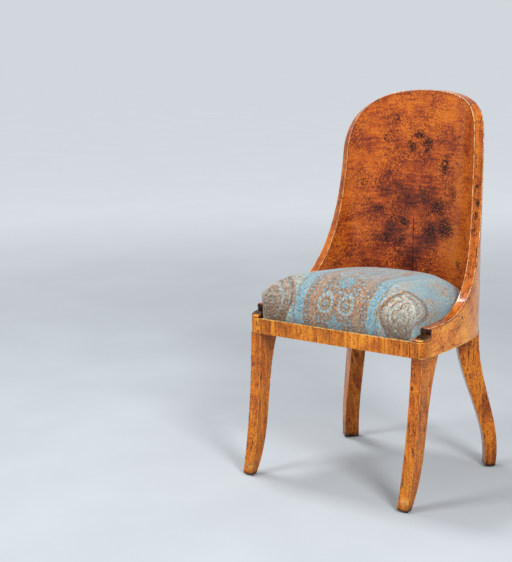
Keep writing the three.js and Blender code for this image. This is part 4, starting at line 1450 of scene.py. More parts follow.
@dataclass
class FrontRail:
    """The veneered face of the front rail, and the two corner blocks that carry the arms' ends."""

    plan: Plan
    wood: bpy.types.Material
    block_width: float = 0.034
    corner: float = 0.012
    ledge_front: float = 0.0045
    ledge_rear: float = 0.013
    ledge_nose: float = 0.003
    ledge_round: float = 0.001
    nosing: float = 0.0020
    quirk: float = 0.0010
    lip: float = 0.006
    rebate: float = 0.013
    core_inset: float = 0.0011
    upper_arris: float = 0.0010
    lower_arris: float = 0.0006

    @property
    def inner(self) -> float:
        """The X of the blocks' inner faces."""
        return HALF_WIDTH - self.block_width

    @property
    def rear(self) -> float:
        """The Y of the blocks' rear faces."""
        return self.plan.arm_setback + self.plan.arm_cove + self.plan.band

    def face(self) -> bpy.types.Object:
        """The veneer on the rail, with its upper arris rounded and its lower one just broken.

        Returns:
            The piece.
        """
        half = self.inner - GLUE_LINE
        shown = half - 0.0014
        xs = np.r_[-half, np.linspace(-shown, shown, 88), half]
        turn = np.linspace(0, math.pi / 2, 5)
        upper, lower = self.upper_arris, self.lower_arris
        y = np.r_[VENEER, lower * (1 - np.sin(turn)), np.zeros(4), upper * (1 - np.cos(turn)), VENEER, VENEER]
        z = np.r_[
            RAIL_BOTTOM, RAIL_BOTTOM + lower * (1 - np.cos(turn)),
            np.linspace(RAIL_BOTTOM + 0.003, RAIL_TOP - 0.003, 4),
            RAIL_TOP - upper * (1 - np.sin(turn)), RAIL_TOP, (RAIL_BOTTOM + RAIL_TOP) / 2,
        ]
        # Pale arrises, partly wear and partly a painted highlight.
        worn = np.r_[0, np.full(5, 0.8), 0.1, 0, 0, 0.15, np.full(5, 1.0), 0.9, 0]
        soil = np.zeros((len(xs), len(worn)))
        soil[[0, -1]] = 0.9
        marks = {
            "leaf": np.stack(np.broadcast_arrays(xs[:, None], z, 2.0 + y), -1),
            "arris": np.broadcast_to(worn, soil.shape),
            "soil": soil,
        }
        piece = loft("rail_face", np.stack(np.broadcast_arrays(xs[:, None], y + FACE_Y, z), -1), marks, 50)
        piece.data.materials.append(self.wood)
        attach(piece, "chair")
        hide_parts("front_rail_veneer")
        return piece

    def arc(self, inset: float, steps: int) -> Array:
        """The block's rounded front corner in plan, drawn in."""
        turn = np.linspace(-math.pi / 2, 0, steps)
        middle = np.array([HALF_WIDTH - self.corner, self.corner])
        return middle + (self.corner - inset) * np.stack([np.cos(turn), np.sin(turn)], -1)

    def outline(self, inset: float, start: float) -> Array:
        """The block's shown outline in plan.

        Args:
            inset: How far it is drawn in.
            start: The X of its inner end, on the front.

        Returns:
            Its points, in X and Y.
        """
        near = np.r_[start, start + 0.0016, np.linspace(start, HALF_WIDTH - self.corner, 4)[1:-1]]
        front = np.stack([near, np.full(4, inset)], -1)
        side = np.stack([np.full(5, HALF_WIDTH - inset), np.linspace(self.corner, self.rear, 6)[1:]], -1)
        return np.concatenate([front, self.arc(inset, 15), side])

    def ledge(self, y: Array) -> Array:
        """Height of the sloping ledge, a quadratic curve that starts behind its nose.

        Args:
            y: Distances from the front.

        Returns:
            The height at each.
        """
        start, end = self.ledge_nose, self.plan.arm_setback
        bend, slope = start, end - 2 * start
        t = (np.sqrt(slope**2 + 4 * bend * (np.clip(y, start, end) - start)) - slope) / (2 * bend)
        low, high = RAIL_TOP + self.ledge_front + GLUE_LINE, RAIL_TOP + self.ledge_rear
        return low * (1 - t) ** 2 + 2 * (high - self.ledge_round) * t * (1 - t) + high * t**2

    def post(self, block: Joinery) -> None:
        """Adds the block's post, from its lower arris to its upper one."""
        # The third value is each arris's wear, which also paints a highlight along it.
        levels = [
            (0.0040, RAIL_BOTTOM, 0.0), (0.0010, RAIL_BOTTOM, 0.7), (0.0003, RAIL_BOTTOM + 0.0003, 1.0),
            (0, RAIL_BOTTOM + 0.0010, 0.8), (0, RAIL_BOTTOM + 0.004, 0.0), (0, RAIL_TOP - 0.004, 0.0),
            (0, RAIL_TOP - 0.0012, 0.7), (0.0004, RAIL_TOP - 0.0003, 1.0), (0.0012, RAIL_TOP, 0.6),
            (0.0110, RAIL_TOP, 0.0),
        ]
        rings = []
        for inset, height, _ in levels:
            xy = self.outline(inset, self.inner)
            rings.append(np.column_stack([xy, np.full(len(xy), height)]))
        block.skin(rings, [worn for *_, worn in levels])

    def top(self, block: Joinery, lip_x: float) -> None:
        """Adds the quirk above the post, and the ledge with its nosing.

        Args:
            block: The block so far.
            lip_x: The X of the ledge's inner side.
        """
        quirk, nose = self.quirk, self.nosing
        recess = [
            (quirk + 0.002, 0.0, 0.0), (quirk, 0.0002, 0.0), (quirk, 0.0012, 0.0), (0.0004, 0.0014, 0.3),
            (0, 0.0019, 0.5),
        ]
        roof = [
            (0, nose, 0.5), (0.00027, nose * 0.5, 0.9), (0.0010, nose * 0.134, 1.0), (nose, 0, 0.8),
            (nose + 0.002, 0, 0.1),
        ]
        pole_shares = (0.8, 0.6, 0.4, 0.2, 0.02)
        rings = []
        for inset, rise, _ in recess:
            xy = self.outline(inset, lip_x)
            rings.append(np.column_stack([xy, np.full(len(xy), RAIL_TOP + rise)]))
        for inset, drop, _ in roof:
            xy = self.outline(inset, lip_x)
            rings.append(np.column_stack([xy, self.ledge(xy[:, 1]) - drop]))
        pole = np.array([lip_x, self.rear])
        edge = rings[-1][:, :2]
        for share in pole_shares:
            xy = pole + (edge - pole) * share
            rings.append(np.column_stack([xy, self.ledge(xy[:, 1])]))
        block.skin(rings, [worn for *_, worn in recess + roof] + [0.0] * len(pole_shares))

    def core(self, block: Joinery, lip_x: float) -> None:
        """Adds the wood inside the skins.

        Args:
            block: The block so far.
            lip_x: The X of the ledge's inner side.
        """
        near, rear = self.core_inset, self.rear
        rounded = [(self.inner, near), *self.arc(near, 9), (HALF_WIDTH - near, rear)]
        floor = RAIL_TOP - self.rebate
        block.prism([*rounded, (self.inner, rear)], RAIL_BOTTOM + 0.0005, floor)
        rim = [(lip_x, rear), (lip_x, self.lip), (self.inner, self.lip)]
        block.prism([*rounded, *rim], floor, RAIL_TOP - 0.00005)
        front = self.quirk + 0.0002
        wall = np.array([(lip_x, front), (lip_x + 0.004, front), (lip_x + 0.004, rear), (lip_x, rear)])
        block.prism(wall, RAIL_TOP - 0.0001, self.ledge(wall[:, 1]) - 0.0002)

    def block(self, side: Side) -> bpy.types.Object:
        """One corner block: a post, a quirk and a sloping ledge with a rounded nosing.

        Args:
            side: The side of the chair.

        Returns:
            The piece.
        """
        lip_x = HALF_WIDTH - self.plan.thickness
        block = Joinery()
        self.post(block)
        self.top(block, lip_x)
        self.core(block, lip_x)
        x, y, z = np.array(block.points).T
        # Painted shade: the sloping ledge under the arm's end and the quirk under the ledge's nosing are
        # darkened as if in shadow. The dark strip at the block's inner front edge is its joint with the rail.
        shaded_ledge = (z > RAIL_TOP + 0.0034) & (y > 0.0045)
        soil = np.where(np.abs(z - RAIL_TOP - 0.0005) < 0.0008, 0.9, np.where(shaded_ledge, 1.0, 0.0))
        soil[(x < self.inner + 0.0006) & (y < 0.002)] = 0.9
        y = y + FACE_Y
        marks = {
            "leaf": np.stack([x - y * 0.8, z, y + 3.0 * side.value], -1),
            "arris": np.array(block.arris),
            "soil": soil,
        }
        faces = block.faces if side is Side.RIGHT else turned_over(block.faces)
        points = mirrored(np.stack([x, y, z], -1), side)
        piece = make_mesh("arm_block" + side.suffix, points, faces, marks, 50)
        piece.data.materials.append(self.wood)
        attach(piece, "chair")
        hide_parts("corner_block" + side.suffix)
        return piece

    def build(self) -> list[bpy.types.Object]:
        """Makes the rail's face and the two blocks."""
        return [self.face(), *(self.block(side) for side in Side)]


# The legs


@dataclass(frozen=True)
class SabreCurve:
    """A sabre leg's two curves, each as the reach of its four handles, and the heights of these."""

    outer: tuple[float, float, float, float]
    inner: tuple[float, float, float, float]
    shin: float
    knee: float = 0.206
    top: float = RAIL_BOTTOM - GLUE_LINE
    foot: float = 0.0028

    def faces(self, steps: int, foot_round: float) -> tuple[Array, Array]:
        """Points down the two faces, from the top to where the foot's rounding starts.

        Args:
            steps: How many points each face gets.
            foot_round: The radius of the foot's rounding.

        Returns:
            The points of the outer face and those of the inner one, in reach and height.
        """
        heights = (self.top, self.knee, self.shin, 0.0)
        end = 1 - (self.foot + foot_round) / (3 * self.shin)
        share = np.linspace(0, end, steps)
        outer, inner = (cubic(np.column_stack([reach, heights]), share) for reach in (self.outer, self.inner))
        return outer, inner


@dataclass
class Legs:
    """Four sabre legs with worn arrises and feet; the arrises' pale line is partly a painted highlight."""

    plan: Plan
    wood: bpy.types.Material
    arris: float = 0.0014
    foot_round: float = 0.0028
    front_width: float = 0.0275
    front_setback: float = 0.003
    front_inward: float = 0.006
    rear_width: float = 0.036
    rear_turn: float = math.radians(49.36)
    front_scuff: float = 0.9
    front: SabreCurve = SabreCurve((0.0008, -0.0043, -0.0176, -0.043), (0.069, 0.0123, 0.0444, -0.028), 0.100)
    rear: SabreCurve = SabreCurve((0.001, -0.004, 0.0645, 0.045), (-0.053, -0.047, 0.031, 0.020), 0.113)
    arris_wear_and_highlight: tuple[float, ...] = (0.55, 0.9, 1.0, 0.9, 0.55)
    flat_shares: tuple[float, ...] = (0.12, 0.5, 0.88)
    flat_wear: tuple[float, ...] = (0.06, 0.0, 0.06)

    def levels(self, curve: SabreCurve) -> list[tuple[float, float, float, float]]:
        """Where a leg's rings stand.

        Args:
            curve: The leg's curves.

        Returns:
            For each ring the reach of the outer and of the inner face, its height and how far it is drawn in.
        """
        outer, inner = curve.faces(72, self.foot_round)
        levels = [(o[0], i[0], o[1], 0.0) for o, i in zip(outer, inner)]
        near, far, height, _ = levels[-1]
        for turn in np.linspace(0.25, 1, 4) * math.pi / 2:
            drop = self.foot_round * math.sin(turn)
            levels.append((near, far, height - drop, self.foot_round * (1 - math.cos(turn))))
        return levels

    def section(self, half: float, low: float, high: float) -> Array:
        """A leg's outline at one height.

        Args:
            half: Half of its width.
            low: The lesser reach of its two faces.
            high: The greater one.

        Returns:
            Its points in turn: five round each arris, and three on the flat that follows.
        """
        radius = self.arris
        quarter = math.pi / 2
        turn = np.linspace(0, quarter, len(self.arris_wear_and_highlight))
        left, right = radius - half, half - radius
        near, far = low + radius, high - radius
        arcs = []
        for number, centre in enumerate([(right, far), (left, far), (left, near), (right, near)]):
            angles = turn + number * quarter
            arcs.append(np.array(centre) + radius * np.stack([np.cos(angles), np.sin(angles)], -1))
        parts = []
        for arc, following in zip(arcs, arcs[1:] + arcs[:1]):
            step = following[0] - arc[-1]
            parts += [arc, arc[-1] + step * np.array(self.flat_shares)[:, None]]
        return np.concatenate(parts)

    def rings(self, curve: SabreCurve, width: float, scuff: float = 0.0) -> tuple[Array, dict[str, Array]]:
        """A leg in its own frame: X across it, Y out of the shell or towards the back, Z up.

        Args:
            curve: The leg's curves.
            width: Its width.
            scuff: How far the front of its toe is rubbed pale, from 0 to 1; the pale patch is wear and a
                painted highlight together.

        Returns:
            Its rings, and the marks of their points.
        """
        edge_wear_and_highlight = np.tile(self.arris_wear_and_highlight + self.flat_wear, 4)
        rings, leaf, arris, soil = [], [], [], []
        for near, far, height, inset in self.levels(curve):
            low, high = min(near, far) + inset, max(near, far) - inset
            ring = self.section(width / 2 - inset, low, high)
            level = np.full(len(ring), height)
            rings.append(np.column_stack([ring, level]))
            toe = scuff * math.exp(-(((height - 0.024) / 0.016) ** 2))
            wear = np.where(ring[:, 1] < low + 0.0006, np.maximum(edge_wear_and_highlight, toe), edge_wear_and_highlight)
            above = height - curve.foot
            # Darker towards the foot. At the top, painted shade: the shadow that the rail casts on the leg.
            darkening = math.exp(-((above / 0.005) ** 2))
            darkening += math.exp(-above / 0.012) * 0.5 + math.exp(-above / 0.07) * 0.28
            darkening += 0.35 * math.exp((height - RAIL_BOTTOM) / 0.012)
            soil.append(min(darkening, 1.0) * (1 - 0.8 * (wear == toe) * min(toe, 1.0)))
            arris.append(wear)
            leaf.append(np.column_stack([ring[:, 0] + ring[:, 1] * 0.9, level, ring[:, 1] * 0.5]))
        return np.array(rings), {"leaf": np.array(leaf), "arris": np.array(arris), "soil": np.array(soil)}

    def make(self, end: str, side: Side, rings: Array, marks: dict[str, Array]) -> bpy.types.Object:
        """Makes one leg.

        Args:
            end: The end of the chair that it stands at, front or rear.
            side: Its side.
            rings: The rings of the right-hand leg, in their place.
            marks: The marks of their points.

        Returns:
            The piece.
        """
        shift = np.array([0, 0.7 * side.value, 5.0 * side.value]) * (1 if end == "front" else 2)
        marks = {**marks, "leaf": marks["leaf"] + shift}
        node = f"{end}_leg{side.suffix}"
        piece = loft(f"sabre_{end}{side.suffix}", mirrored(rings, side), marks, 40)
        piece.data.materials.append(self.wood)
        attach(piece, "chair")
        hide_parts(node)
        return piece

    def build(self) -> list[bpy.types.Object]:
        """Makes the four legs.

        Returns:
            The front and the rear leg of each side.
        """
        front, front_marks = self.rings(self.front, self.front_width, self.front_scuff)
        middle = HALF_WIDTH - self.front_setback - self.front_width / 2
        front[..., 0] += middle - self.front_inward * (1 - front[..., 2] / RAIL_BOTTOM)
        front[..., 1] += FACE_Y
        along = self.plan.along[1:]
        slope = -along[:, 1] / np.maximum(along[:, 0], 1e-6)
        run = float(np.interp(math.tan(self.rear_turn), slope, self.plan.run[1:]))
        turn = self.plan.turn(run)
        foot = self.plan.at(np.array(run), np.array(0.0), np.array(0.0))
        rear, rear_marks = self.rings(self.rear, self.rear_width)
        c, s = math.cos(-turn), math.sin(-turn)
        x, y = rear[..., 0].copy(), rear[..., 1].copy()
        rear[..., 0] = c * x - s * y + foot[0]
        rear[..., 1] = s * x + c * y + foot[1]
        made = []
        for side in Side:
            made.append(self.make("front", side, front, front_marks))
            made.append(self.make("rear", side, rear, rear_marks))
        return made


# The drop-in seat


@dataclass
class Seat:
    """The stuffed and covered seat, its hessian and its webbing."""

    plan: Plan
    cloth: bpy.types.Material
    hessian_weave: bpy.types.Material
    webbing_weave: bpy.types.Material
    clearance: float = 0.0015
    corner: float = 0.012
    side_rise: float = 0.044
    rounding: float = 0.016
    crown: float = 0.051
    fullness: float = 5.0
    middle: float = 0.170
    lean: float = 0.009
    bulge: float = 0.003
    bulge_rise: float = 0.015
    overhang: float = 0.008
    overhang_reach: float = 0.130
    turn_in: float = 0.011
    start_inset: float = 0.0020
    swell_cap: float = 0.0028
    swell_frames: int = 20
    voxel: float = 0.005
    cover_thickness: float = 0.0015
    lip: float = 0.006
    frame_inset: float = 0.0021
    hessian_inset: float = 0.009
    strap_thickness: float = 0.0016
    strap_half: float = 0.025
    strap_gap: float = 0.0028
    strap_fall: float = 0.009

    @property
    def shoulder(self) -> float:
        """The angle up to which the side rounds over before the crown starts."""
        return math.pi / 2 - math.atan(self.crown * self.fullness / self.middle)

    @cached_property
    def outline(self) -> Array:
        """The seat's outline, round from the middle of the back.

        Returns:
            Rows of X, Y and the outward direction's X and Y.
        """
        depth = self.plan.thickness + self.clearance
        front = self.lip + self.clearance
        run = np.linspace(0, self.plan.run_at(front + self.corner, depth), 150)
        point = self.plan.at(run, RAIL_BOTTOM, depth)
        edge = self.plan.at(run, RAIL_BOTTOM, 0.0)
        out = (edge - point)[:, :2] / depth
        half = np.column_stack([point[:, 0], point[:, 1] - FACE_Y, out])
        cx, cy = half[-1, 0] - self.corner, front + self.corner
        turn = np.linspace(0, math.pi / 2, 10)[1:]
        c, s = np.cos(turn), np.sin(turn)
        corner = np.column_stack([cx + self.corner * c, cy - self.corner * s, c, -s])
        straight = np.linspace(cx, 0, 40)[1:]
        rail = np.column_stack([straight, np.full(39, front), np.zeros(39), np.full(39, -1.0)])
        right = np.concatenate([half, corner, rail])
        left = right[1:-1][::-1] * np.array([-1, 1, -1, 1])
        return np.concatenate([right, left])

    def ring(self, inset: float, height: float, front: float, side: float, lean: float) -> Array:
        """The outline drawn in at one height.

        Args:
            inset: How far it is drawn in.
            height: Its height.
            front: The share of the swelling in front that it takes.
            side: The share of the overhang at the sides.
            lean: The share of the seat's lean.

        Returns:
            Its points.
        """
        x, y, ox, oy = self.outline.T
        out = front * self.bulge * np.clip(-oy, 0, None) ** 2 - inset
        out = out + side * self.overhang * ox**2 * np.clip(1 - y / self.overhang_reach, 0, None)
        height = height + lean * self.lean * (1 - y / self.middle)
        return np.column_stack([x + out * ox, y + out * oy, height])

    def form(self) -> tuple[Array, list]:
        """The closed form that the cover is blown up from, a little inside its final size.

        Returns:
            Its points and its faces.
        """
        skin = self.start_inset
        bottom = REBATE_FLOOR + GLUE_LINE + 0.001
        side_top = RAIL_TOP + self.side_rise
        radius = self.rounding
        rings = [self.ring(skin, bottom, 0, 0, 0), self.ring(skin, RAIL_TOP, 0, 0, 0)]
        rings.append(self.ring(skin, RAIL_TOP + self.bulge_rise, 1, 0, 0))
        rings.append(self.ring(skin, RAIL_TOP + self.plan.arm_rise + self.clearance, 1, 0.15, 0))
        for share in (0.35, 0.7):
            height = RAIL_TOP + self.plan.arm_rise + (self.side_rise - self.plan.arm_rise) * share
            rings.append(self.ring(skin, height, 1, 0.15 + 0.85 * share, share))
        for turn in np.linspace(0, self.shoulder, 5):
            inset = skin + radius * (1 - math.cos(turn))
            rings.append(self.ring(inset, side_top + (radius - skin) * math.sin(turn), 1, 1, 1))
        foot = side_top + radius * math.sin(self.shoulder)
        top = foot + self.crown - skin
        edge = rings[-1]
        for share in (0.97, 0.93, 0.88, 0.82, 0.74, 0.62, 0.48, 0.32, 0.16):
            y = self.middle + (edge[:, 1] - self.middle) * share
            height = foot + share * (edge[:, 2] - foot) + (top - foot) * (1 - share**self.fullness)
            rings.append(np.column_stack([edge[:, 0] * share, y, height]))
        points = np.concatenate([*rings, [[0, self.middle, bottom], [0, self.middle, top]]])
        size, count = len(rings[0]), len(rings)
        last = (count - 1) * size
        faces = side_faces(count, size) + turned_over(fan(len(points) - 2, 0, size))
        faces += fan(len(points) - 1, last, size)
        points[:, 1] += FACE_Y
        return points, outward(points, faces)

    def nearest(self, points: Array) -> tuple[Array, Array]:
        """Finds the outline next to some points.

        Args:
            points: The points, one a row.

        Returns:
            For each point the nearest row of the outline, and how far inside it the point lies.
        """
        line = self.outline
        flat = points[:, :2] - np.array([0, FACE_Y])
        gaps = ((flat[:, None, :] - line[None, :, :2]) ** 2).sum(-1)
        row = line[gaps.argmin(1)]
        return row, ((row[:, :2] - flat) * row[:, 2:]).sum(1)

    def cushion(self) -> bpy.types.Object:
        """The crowned cover over its stuffing, blown up as cloth and then opened below.

        Returns:
            The piece.
        """
        points, faces = self.form()
        piece = make_mesh("shawl_cover", points, faces, None, 180)
        bpy.context.view_layer.objects.active = piece
        piece.select_set(True)
        remesh = piece.modifiers.new("Remesh", "REMESH")
        remesh.mode, remesh.voxel_size = "VOXEL", self.voxel
        bpy.ops.object.modifier_apply(modifier=remesh.name)
        self.swell(piece)
        soften = piece.modifiers.new("Soften", "SMOOTH")
        soften.factor, soften.iterations = 0.5, 4
        bpy.ops.object.modifier_apply(modifier=soften.name)
        self.open_below(piece)
        finer = piece.modifiers.new("Finer", "SUBSURF")
        finer.levels = finer.render_levels = 1
        bpy.ops.object.modifier_apply(modifier=finer.name)
        self.lay_out(piece)
        piece.data.shade_smooth()
        skin = piece.modifiers.new("Cloth and lining", "SOLIDIFY")
        skin.thickness, skin.offset = self.cover_thickness, -1
        piece.data.materials.append(self.cloth)
        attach(piece, "drop_in_seat")
        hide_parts("seat_cover", "stuffing")
        return piece

    def swell(self, piece: bpy.types.Object) -> None:
        """Blows the form up as cloth, with its lower band held, and caps how far each point moves.

        Args:
            piece: The form.
        """
        mesh = piece.data
        rest = np.empty(len(mesh.vertices) * 3, np.float32)
        mesh.vertices.foreach_get("co", rest)
        rest = rest.reshape(-1, 3)
        held = piece.vertex_groups.new(name="held")
        for index in np.nonzero(rest[:, 2] < RAIL_TOP + 0.004)[0]:
            held.add([int(index)], 1.0, "REPLACE")
        cloth = piece.modifiers.new("Cloth", "CLOTH")
        settings = cloth.settings
        settings.quality = 6
        settings.mass = 0.3
        settings.tension_stiffness = settings.compression_stiffness = 25
        settings.bending_stiffness = 0.6
        settings.use_pressure = True
        settings.uniform_pressure_force = 4
        settings.effector_weights.gravity = 0
        settings.vertex_group_mass = "held"
        cloth.collision_settings.use_collision = False
        cloth.point_cache.frame_start, cloth.point_cache.frame_end = 1, self.swell_frames
        scene = bpy.context.scene
        for number in range(1, self.swell_frames + 1):
            scene.frame_set(number)
        shown = piece.evaluated_get(bpy.context.evaluated_depsgraph_get())
        blown = np.empty(len(mesh.vertices) * 3, np.float32)
        shown.data.vertices.foreach_get("co", blown)
        piece.modifiers.remove(cloth)
        scene.frame_set(1)
        step = blown.reshape(-1, 3) - rest
        size = np.linalg.norm(step, axis=1)
        step *= np.minimum(1, self.swell_cap / np.maximum(size, 1e-9))[:, None]
        mesh.vertices.foreach_set("co", (rest + step).astype(np.float32).ravel())
        mesh.update()
        LOG.info("cushion swelled by %.1f mm at most before the cap", 1000 * float(size.max()))

    def open_below(self, piece: bpy.types.Object) -> None:
        """Takes out the bottom inside the turned-in edge, and trims that edge to its line.

        Args:
            piece: The cover.
        """
        work = bmesh.new()
        work.from_mesh(piece.data)
        points = np.array([v.co for v in work.verts])
        _, inside = self.nearest(points)
        low = REBATE_FLOOR + GLUE_LINE + 0.004
        gone = [v for v, p, d in zip(work.verts, points, inside) if p[2] < low and d > self.turn_in]
        bmesh.ops.delete(work, geom=gone, context="VERTS")
        work.verts.ensure_lookup_table()
        for v in work.verts:
            if v.is_boundary:
                near, depth = self.nearest(np.array([v.co]))
                step = depth[0] - self.turn_in
                v.co.x += near[0, 2] * step
                v.co.y += near[0, 3] * step
            v.co.z = max(v.co.z, REBATE_FLOOR + GLUE_LINE)
        work.to_mesh(piece.data)
        work.free()
        piece.data.update()

    def lay_out(self, piece: bpy.types.Object) -> None:
        """Writes where each point lies on the flat cloth, unrolled outwards down the sides.

        Args:
            piece: The cover.
        """
        mesh = piece.data
        points = np.empty(len(mesh.vertices) * 3, np.float32)
        mesh.vertices.foreach_get("co", points)
        points = points.reshape(-1, 3).astype(float)
        places = []
        for part in np.array_split(points, max(1, len(points) // 4000)):
            row, inside = self.nearest(part)
            foot = RAIL_TOP + self.side_rise + self.rounding * math.sin(self.shoulder)
            foot = foot + self.lean * (1 - (part[:, 1] - FACE_Y) / self.middle)
            drop = np.clip(foot - part[:, 2], 0, None)
            bend = self.rounding * (1 - math.cos(self.shoulder))
            down = np.clip(drop / 0.006, 0, 1)
            out = (1 - down) * -inside + down * (drop * 1.03 - bend)
            places.append(row[:, :2] + row[:, 2:] * out[:, None])
        flat = np.concatenate(places)
        set_mark(mesh, "cloth", np.column_stack([flat, np.zeros(len(flat))]))

    def hessian(self) -> bpy.types.Object:
        """The hessian stretched over the webbing.

        Returns:
            The piece.
        """
        low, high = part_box("hessian")
        line = self.outline
        edge = line[:, :2] - line[:, 2:] * (self.frame_inset + self.hessian_inset)
        centre = np.array([0, self.middle])
        rings = [centre + (edge - centre) * share for share in (1, 0.8, 0.6, 0.4, 0.2)]
        flat = np.concatenate([*rings, [centre]])
        size, count = len(edge), len(flat)
        top = np.column_stack([flat[:, 0], flat[:, 1] + FACE_Y, np.full(count, high.z)])
        faces = side_faces(len(rings), size) + fan(count - 1, (len(rings) - 1) * size, size)
        marks = {"cloth": np.column_stack([flat, np.zeros(count)])}
        piece = make_mesh("hessian_sheet", top, turned_over(faces), marks, 60)
        skin = piece.modifiers.new("Thickness", "SOLIDIFY")
        skin.thickness, skin.offset = high.z - low.z, 0
        piece.data.materials.append(self.hessian_weave)
        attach(piece, "drop_in_seat")
        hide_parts("hessian")
        return piece

    def strap(self, node: str, lengthwise: bool, parity: int, crossing: list[str]) -> bpy.types.Object:
        """One webbing strap, which passes over and under the ones that it crosses.

        Args:
            node: The CAD node that it stands for.
            lengthwise: Whether it runs from front to back.
            parity: 1 if it rises over the first strap that it crosses.
            crossing: The nodes that it crosses, in order.

        Returns:
            The piece.
        """
        low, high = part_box(node)
        axis, across = (1, 0) if lengthwise else (0, 1)
        thick = self.strap_thickness
        rise = high.z - low.z - thick
        half = (high[across] - low[across]) / 2
        middle = (high[across] + low[across]) / 2
        place = np.linspace(low[axis], high[axis], 120)
        level = np.zeros_like(place)
        reach = self.strap_half + self.strap_gap
        for other in crossing[1 - parity :: 2]:
            lo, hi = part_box(other)
            away = np.abs(place - (lo[axis] + hi[axis]) / 2) - reach
            level = np.maximum(level, 1 - np.clip(away / self.strap_fall, 0, 1))
        level = level * level * (3 - 2 * level)
        cross = np.linspace(-half, half, 9)
        rings, cloth = [], []
        for p, lift in zip(place, level):
            bottom = low.z + rise * lift
            side = [(c, bottom) for c in cross] + [(c, bottom + thick) for c in cross[::-1]]
            rings.append([(middle + c, p, z) if lengthwise else (p, middle + c, z) for c, z in side])
            cloth.append([(c, p, 0.0) for c, _ in side])
        marks = {"cloth": np.array(cloth)}
        piece = loft(node.replace("webbing", "web_strap"), np.array(rings), marks, 50)
        piece.data.materials.append(self.webbing_weave)
        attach(piece, "drop_in_seat")
        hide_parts(node)
        return piece

    def build(self) -> list[bpy.types.Object]:
        """Makes the seat's soft pieces.

        Returns:
            The cover, the hessian and the six straps.
        """
        made = [self.cushion(), self.hessian()]
        columns = [f"webbing_lengthwise_{place}" for place in ("left", "middle", "right")]
        rows = [f"webbing_crosswise_{place}" for place in ("front", "middle", "back")]
        for number, node in enumerate(columns):
            made.append(self.strap(node, True, number % 2, rows))
        for number, node in enumerate(rows):
            made.append(self.strap(node, False, (number + 1) % 2, columns))
        return made


# What the CAD nodes that stay are dressed in


@dataclass
class HiddenWood:
    """The cores, bearers and frame rails that show only from below, and the glides under the feet."""

    core_wood: bpy.types.Material
    beech: bpy.types.Material
    steel: bpy.types.Material

    def dress(self) -> None:
        """Gives each node its material."""
        carcass = ("shell_stave", "front_rail", "side_bearer", "rear_corner", "back_bearer", "front_glue")
        for name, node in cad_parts.items():
            if name.startswith("seat_frame"):
                material = self.beech
            elif "glide" in name:
                material = self.steel
            elif name.startswith(carcass):
                material = self.core_wood
            else:
                continue
            if node.material_slots:
                node.material_slots[0].material = material
            else:
                node.data.materials.append(material)


# The studio


@dataclass
class Studio:
    """The floor, the lamps and the camera."""

    floor: bpy.types.Material
    standpoint: tuple[float, float, float] = (1.7464, -2.4760, 1.0410)
    heading: float = 0.67002
    pitch: float = 0.18316
    roll: float = -0.00955
    lens: float = 89.37

    def ground(self) -> None:
        """The floor, a wide disc whose rim lies too far off to be told from the background."""
        radii, size = (0.6, 2.0, 6.0, 30.0), 64
        turn = np.linspace(0, 2 * math.pi, size, endpoint=False)
        rings = [np.column_stack([r * np.cos(turn), r * np.sin(turn), np.zeros(size)]) for r in radii]
        points = np.concatenate([*rings, [[0, 0, 0]]])
        faces = turned_over(side_faces(len(radii), size)) + fan(len(points) - 1, 0, size)
        floor = make_mesh("studio_floor", points, faces, None, 60)
        floor.data.materials.append(self.floor)

    def lamp(
        self, name: str, place: tuple[float, float, float], size: tuple[float, float], power: float
    ) -> None:
        """A soft lamp that faces the chair.

        Args:
            name: Its name.
            place: Where it hangs.
            size: Its width and height.
            power: Its power in watts.
        """
        data = bpy.data.lights.new(name, "AREA")
        data.shape = "RECTANGLE"
        data.size, data.size_y = size
        data.energy = power
        lamp = bpy.data.objects.new(name, data)
        lamp.location = place
        lamp.rotation_euler = (Vector((0, 0, 0.45)) - Vector(place)).to_track_quat("-Z", "Y").to_euler()
        bpy.context.scene.collection.objects.link(lamp)

    def light(self) -> None:
        """The lamps and the world."""
        self.lamp("Key", (-1.5, -2.9, 2.4), (1.2, 1.2), 62)
        self.lamp("Right", (2.7, -1.7, 2.4), (0.9, 1.2), 92)
        self.lamp("Above", (-1.1, 0.25, 2.75), (0.6, 0.6), 36)
        world = bpy.data.worlds.new("Studio")
        bpy.context.scene.world = world
        world.use_nodes = True
        shade = next(n for n in world.node_tree.nodes if n.type == "BACKGROUND")
        g = Graph(world.node_tree)
        seen = g.rays("Camera", "Glossy", "Transmission")
        g.put(shade.inputs["Color"], g.mix((0.94, 0.96, 1, 1), srgb(209, 215, 220), seen))
        g.put(shade.inputs["Strength"], seen * 0.62 + 0.38)

    def camera(self) -> None:
        """The camera, where the photograph was taken from."""
        data = bpy.data.cameras.new("Camera")
        data.sensor_width = 36
        data.lens = self.lens
        data.clip_end = 50
        right = Vector((math.cos(self.heading), math.sin(self.heading), 0))
        level = Vector((-math.sin(self.heading), math.cos(self.heading), 0))
        ahead = level * math.cos(self.pitch) - Vector((0, 0, 1)) * math.sin(self.pitch)
        up = level * math.sin(self.pitch) + Vector((0, 0, 1)) * math.cos(self.pitch)
        c, s = math.cos(self.roll), math.sin(self.roll)
        turned_right, turned_up = right * c + up * s, up * c - right * s
        x, y, z = self.standpoint
        camera = bpy.data.objects.new("Camera", data)
        basis = Matrix((turned_right, turned_up, -ahead)).transposed()
        camera.matrix_world = Matrix.Translation((x, y + FACE_Y, z)) @ basis.to_4x4()
        bpy.context.scene.collection.objects.link(camera)
        bpy.context.scene.camera = camera

    def build(self) -> None:
        """Makes the studio."""
        self.camera()
        self.ground()
        self.light()
        bpy.context.scene.view_settings.view_transform = "Standard"


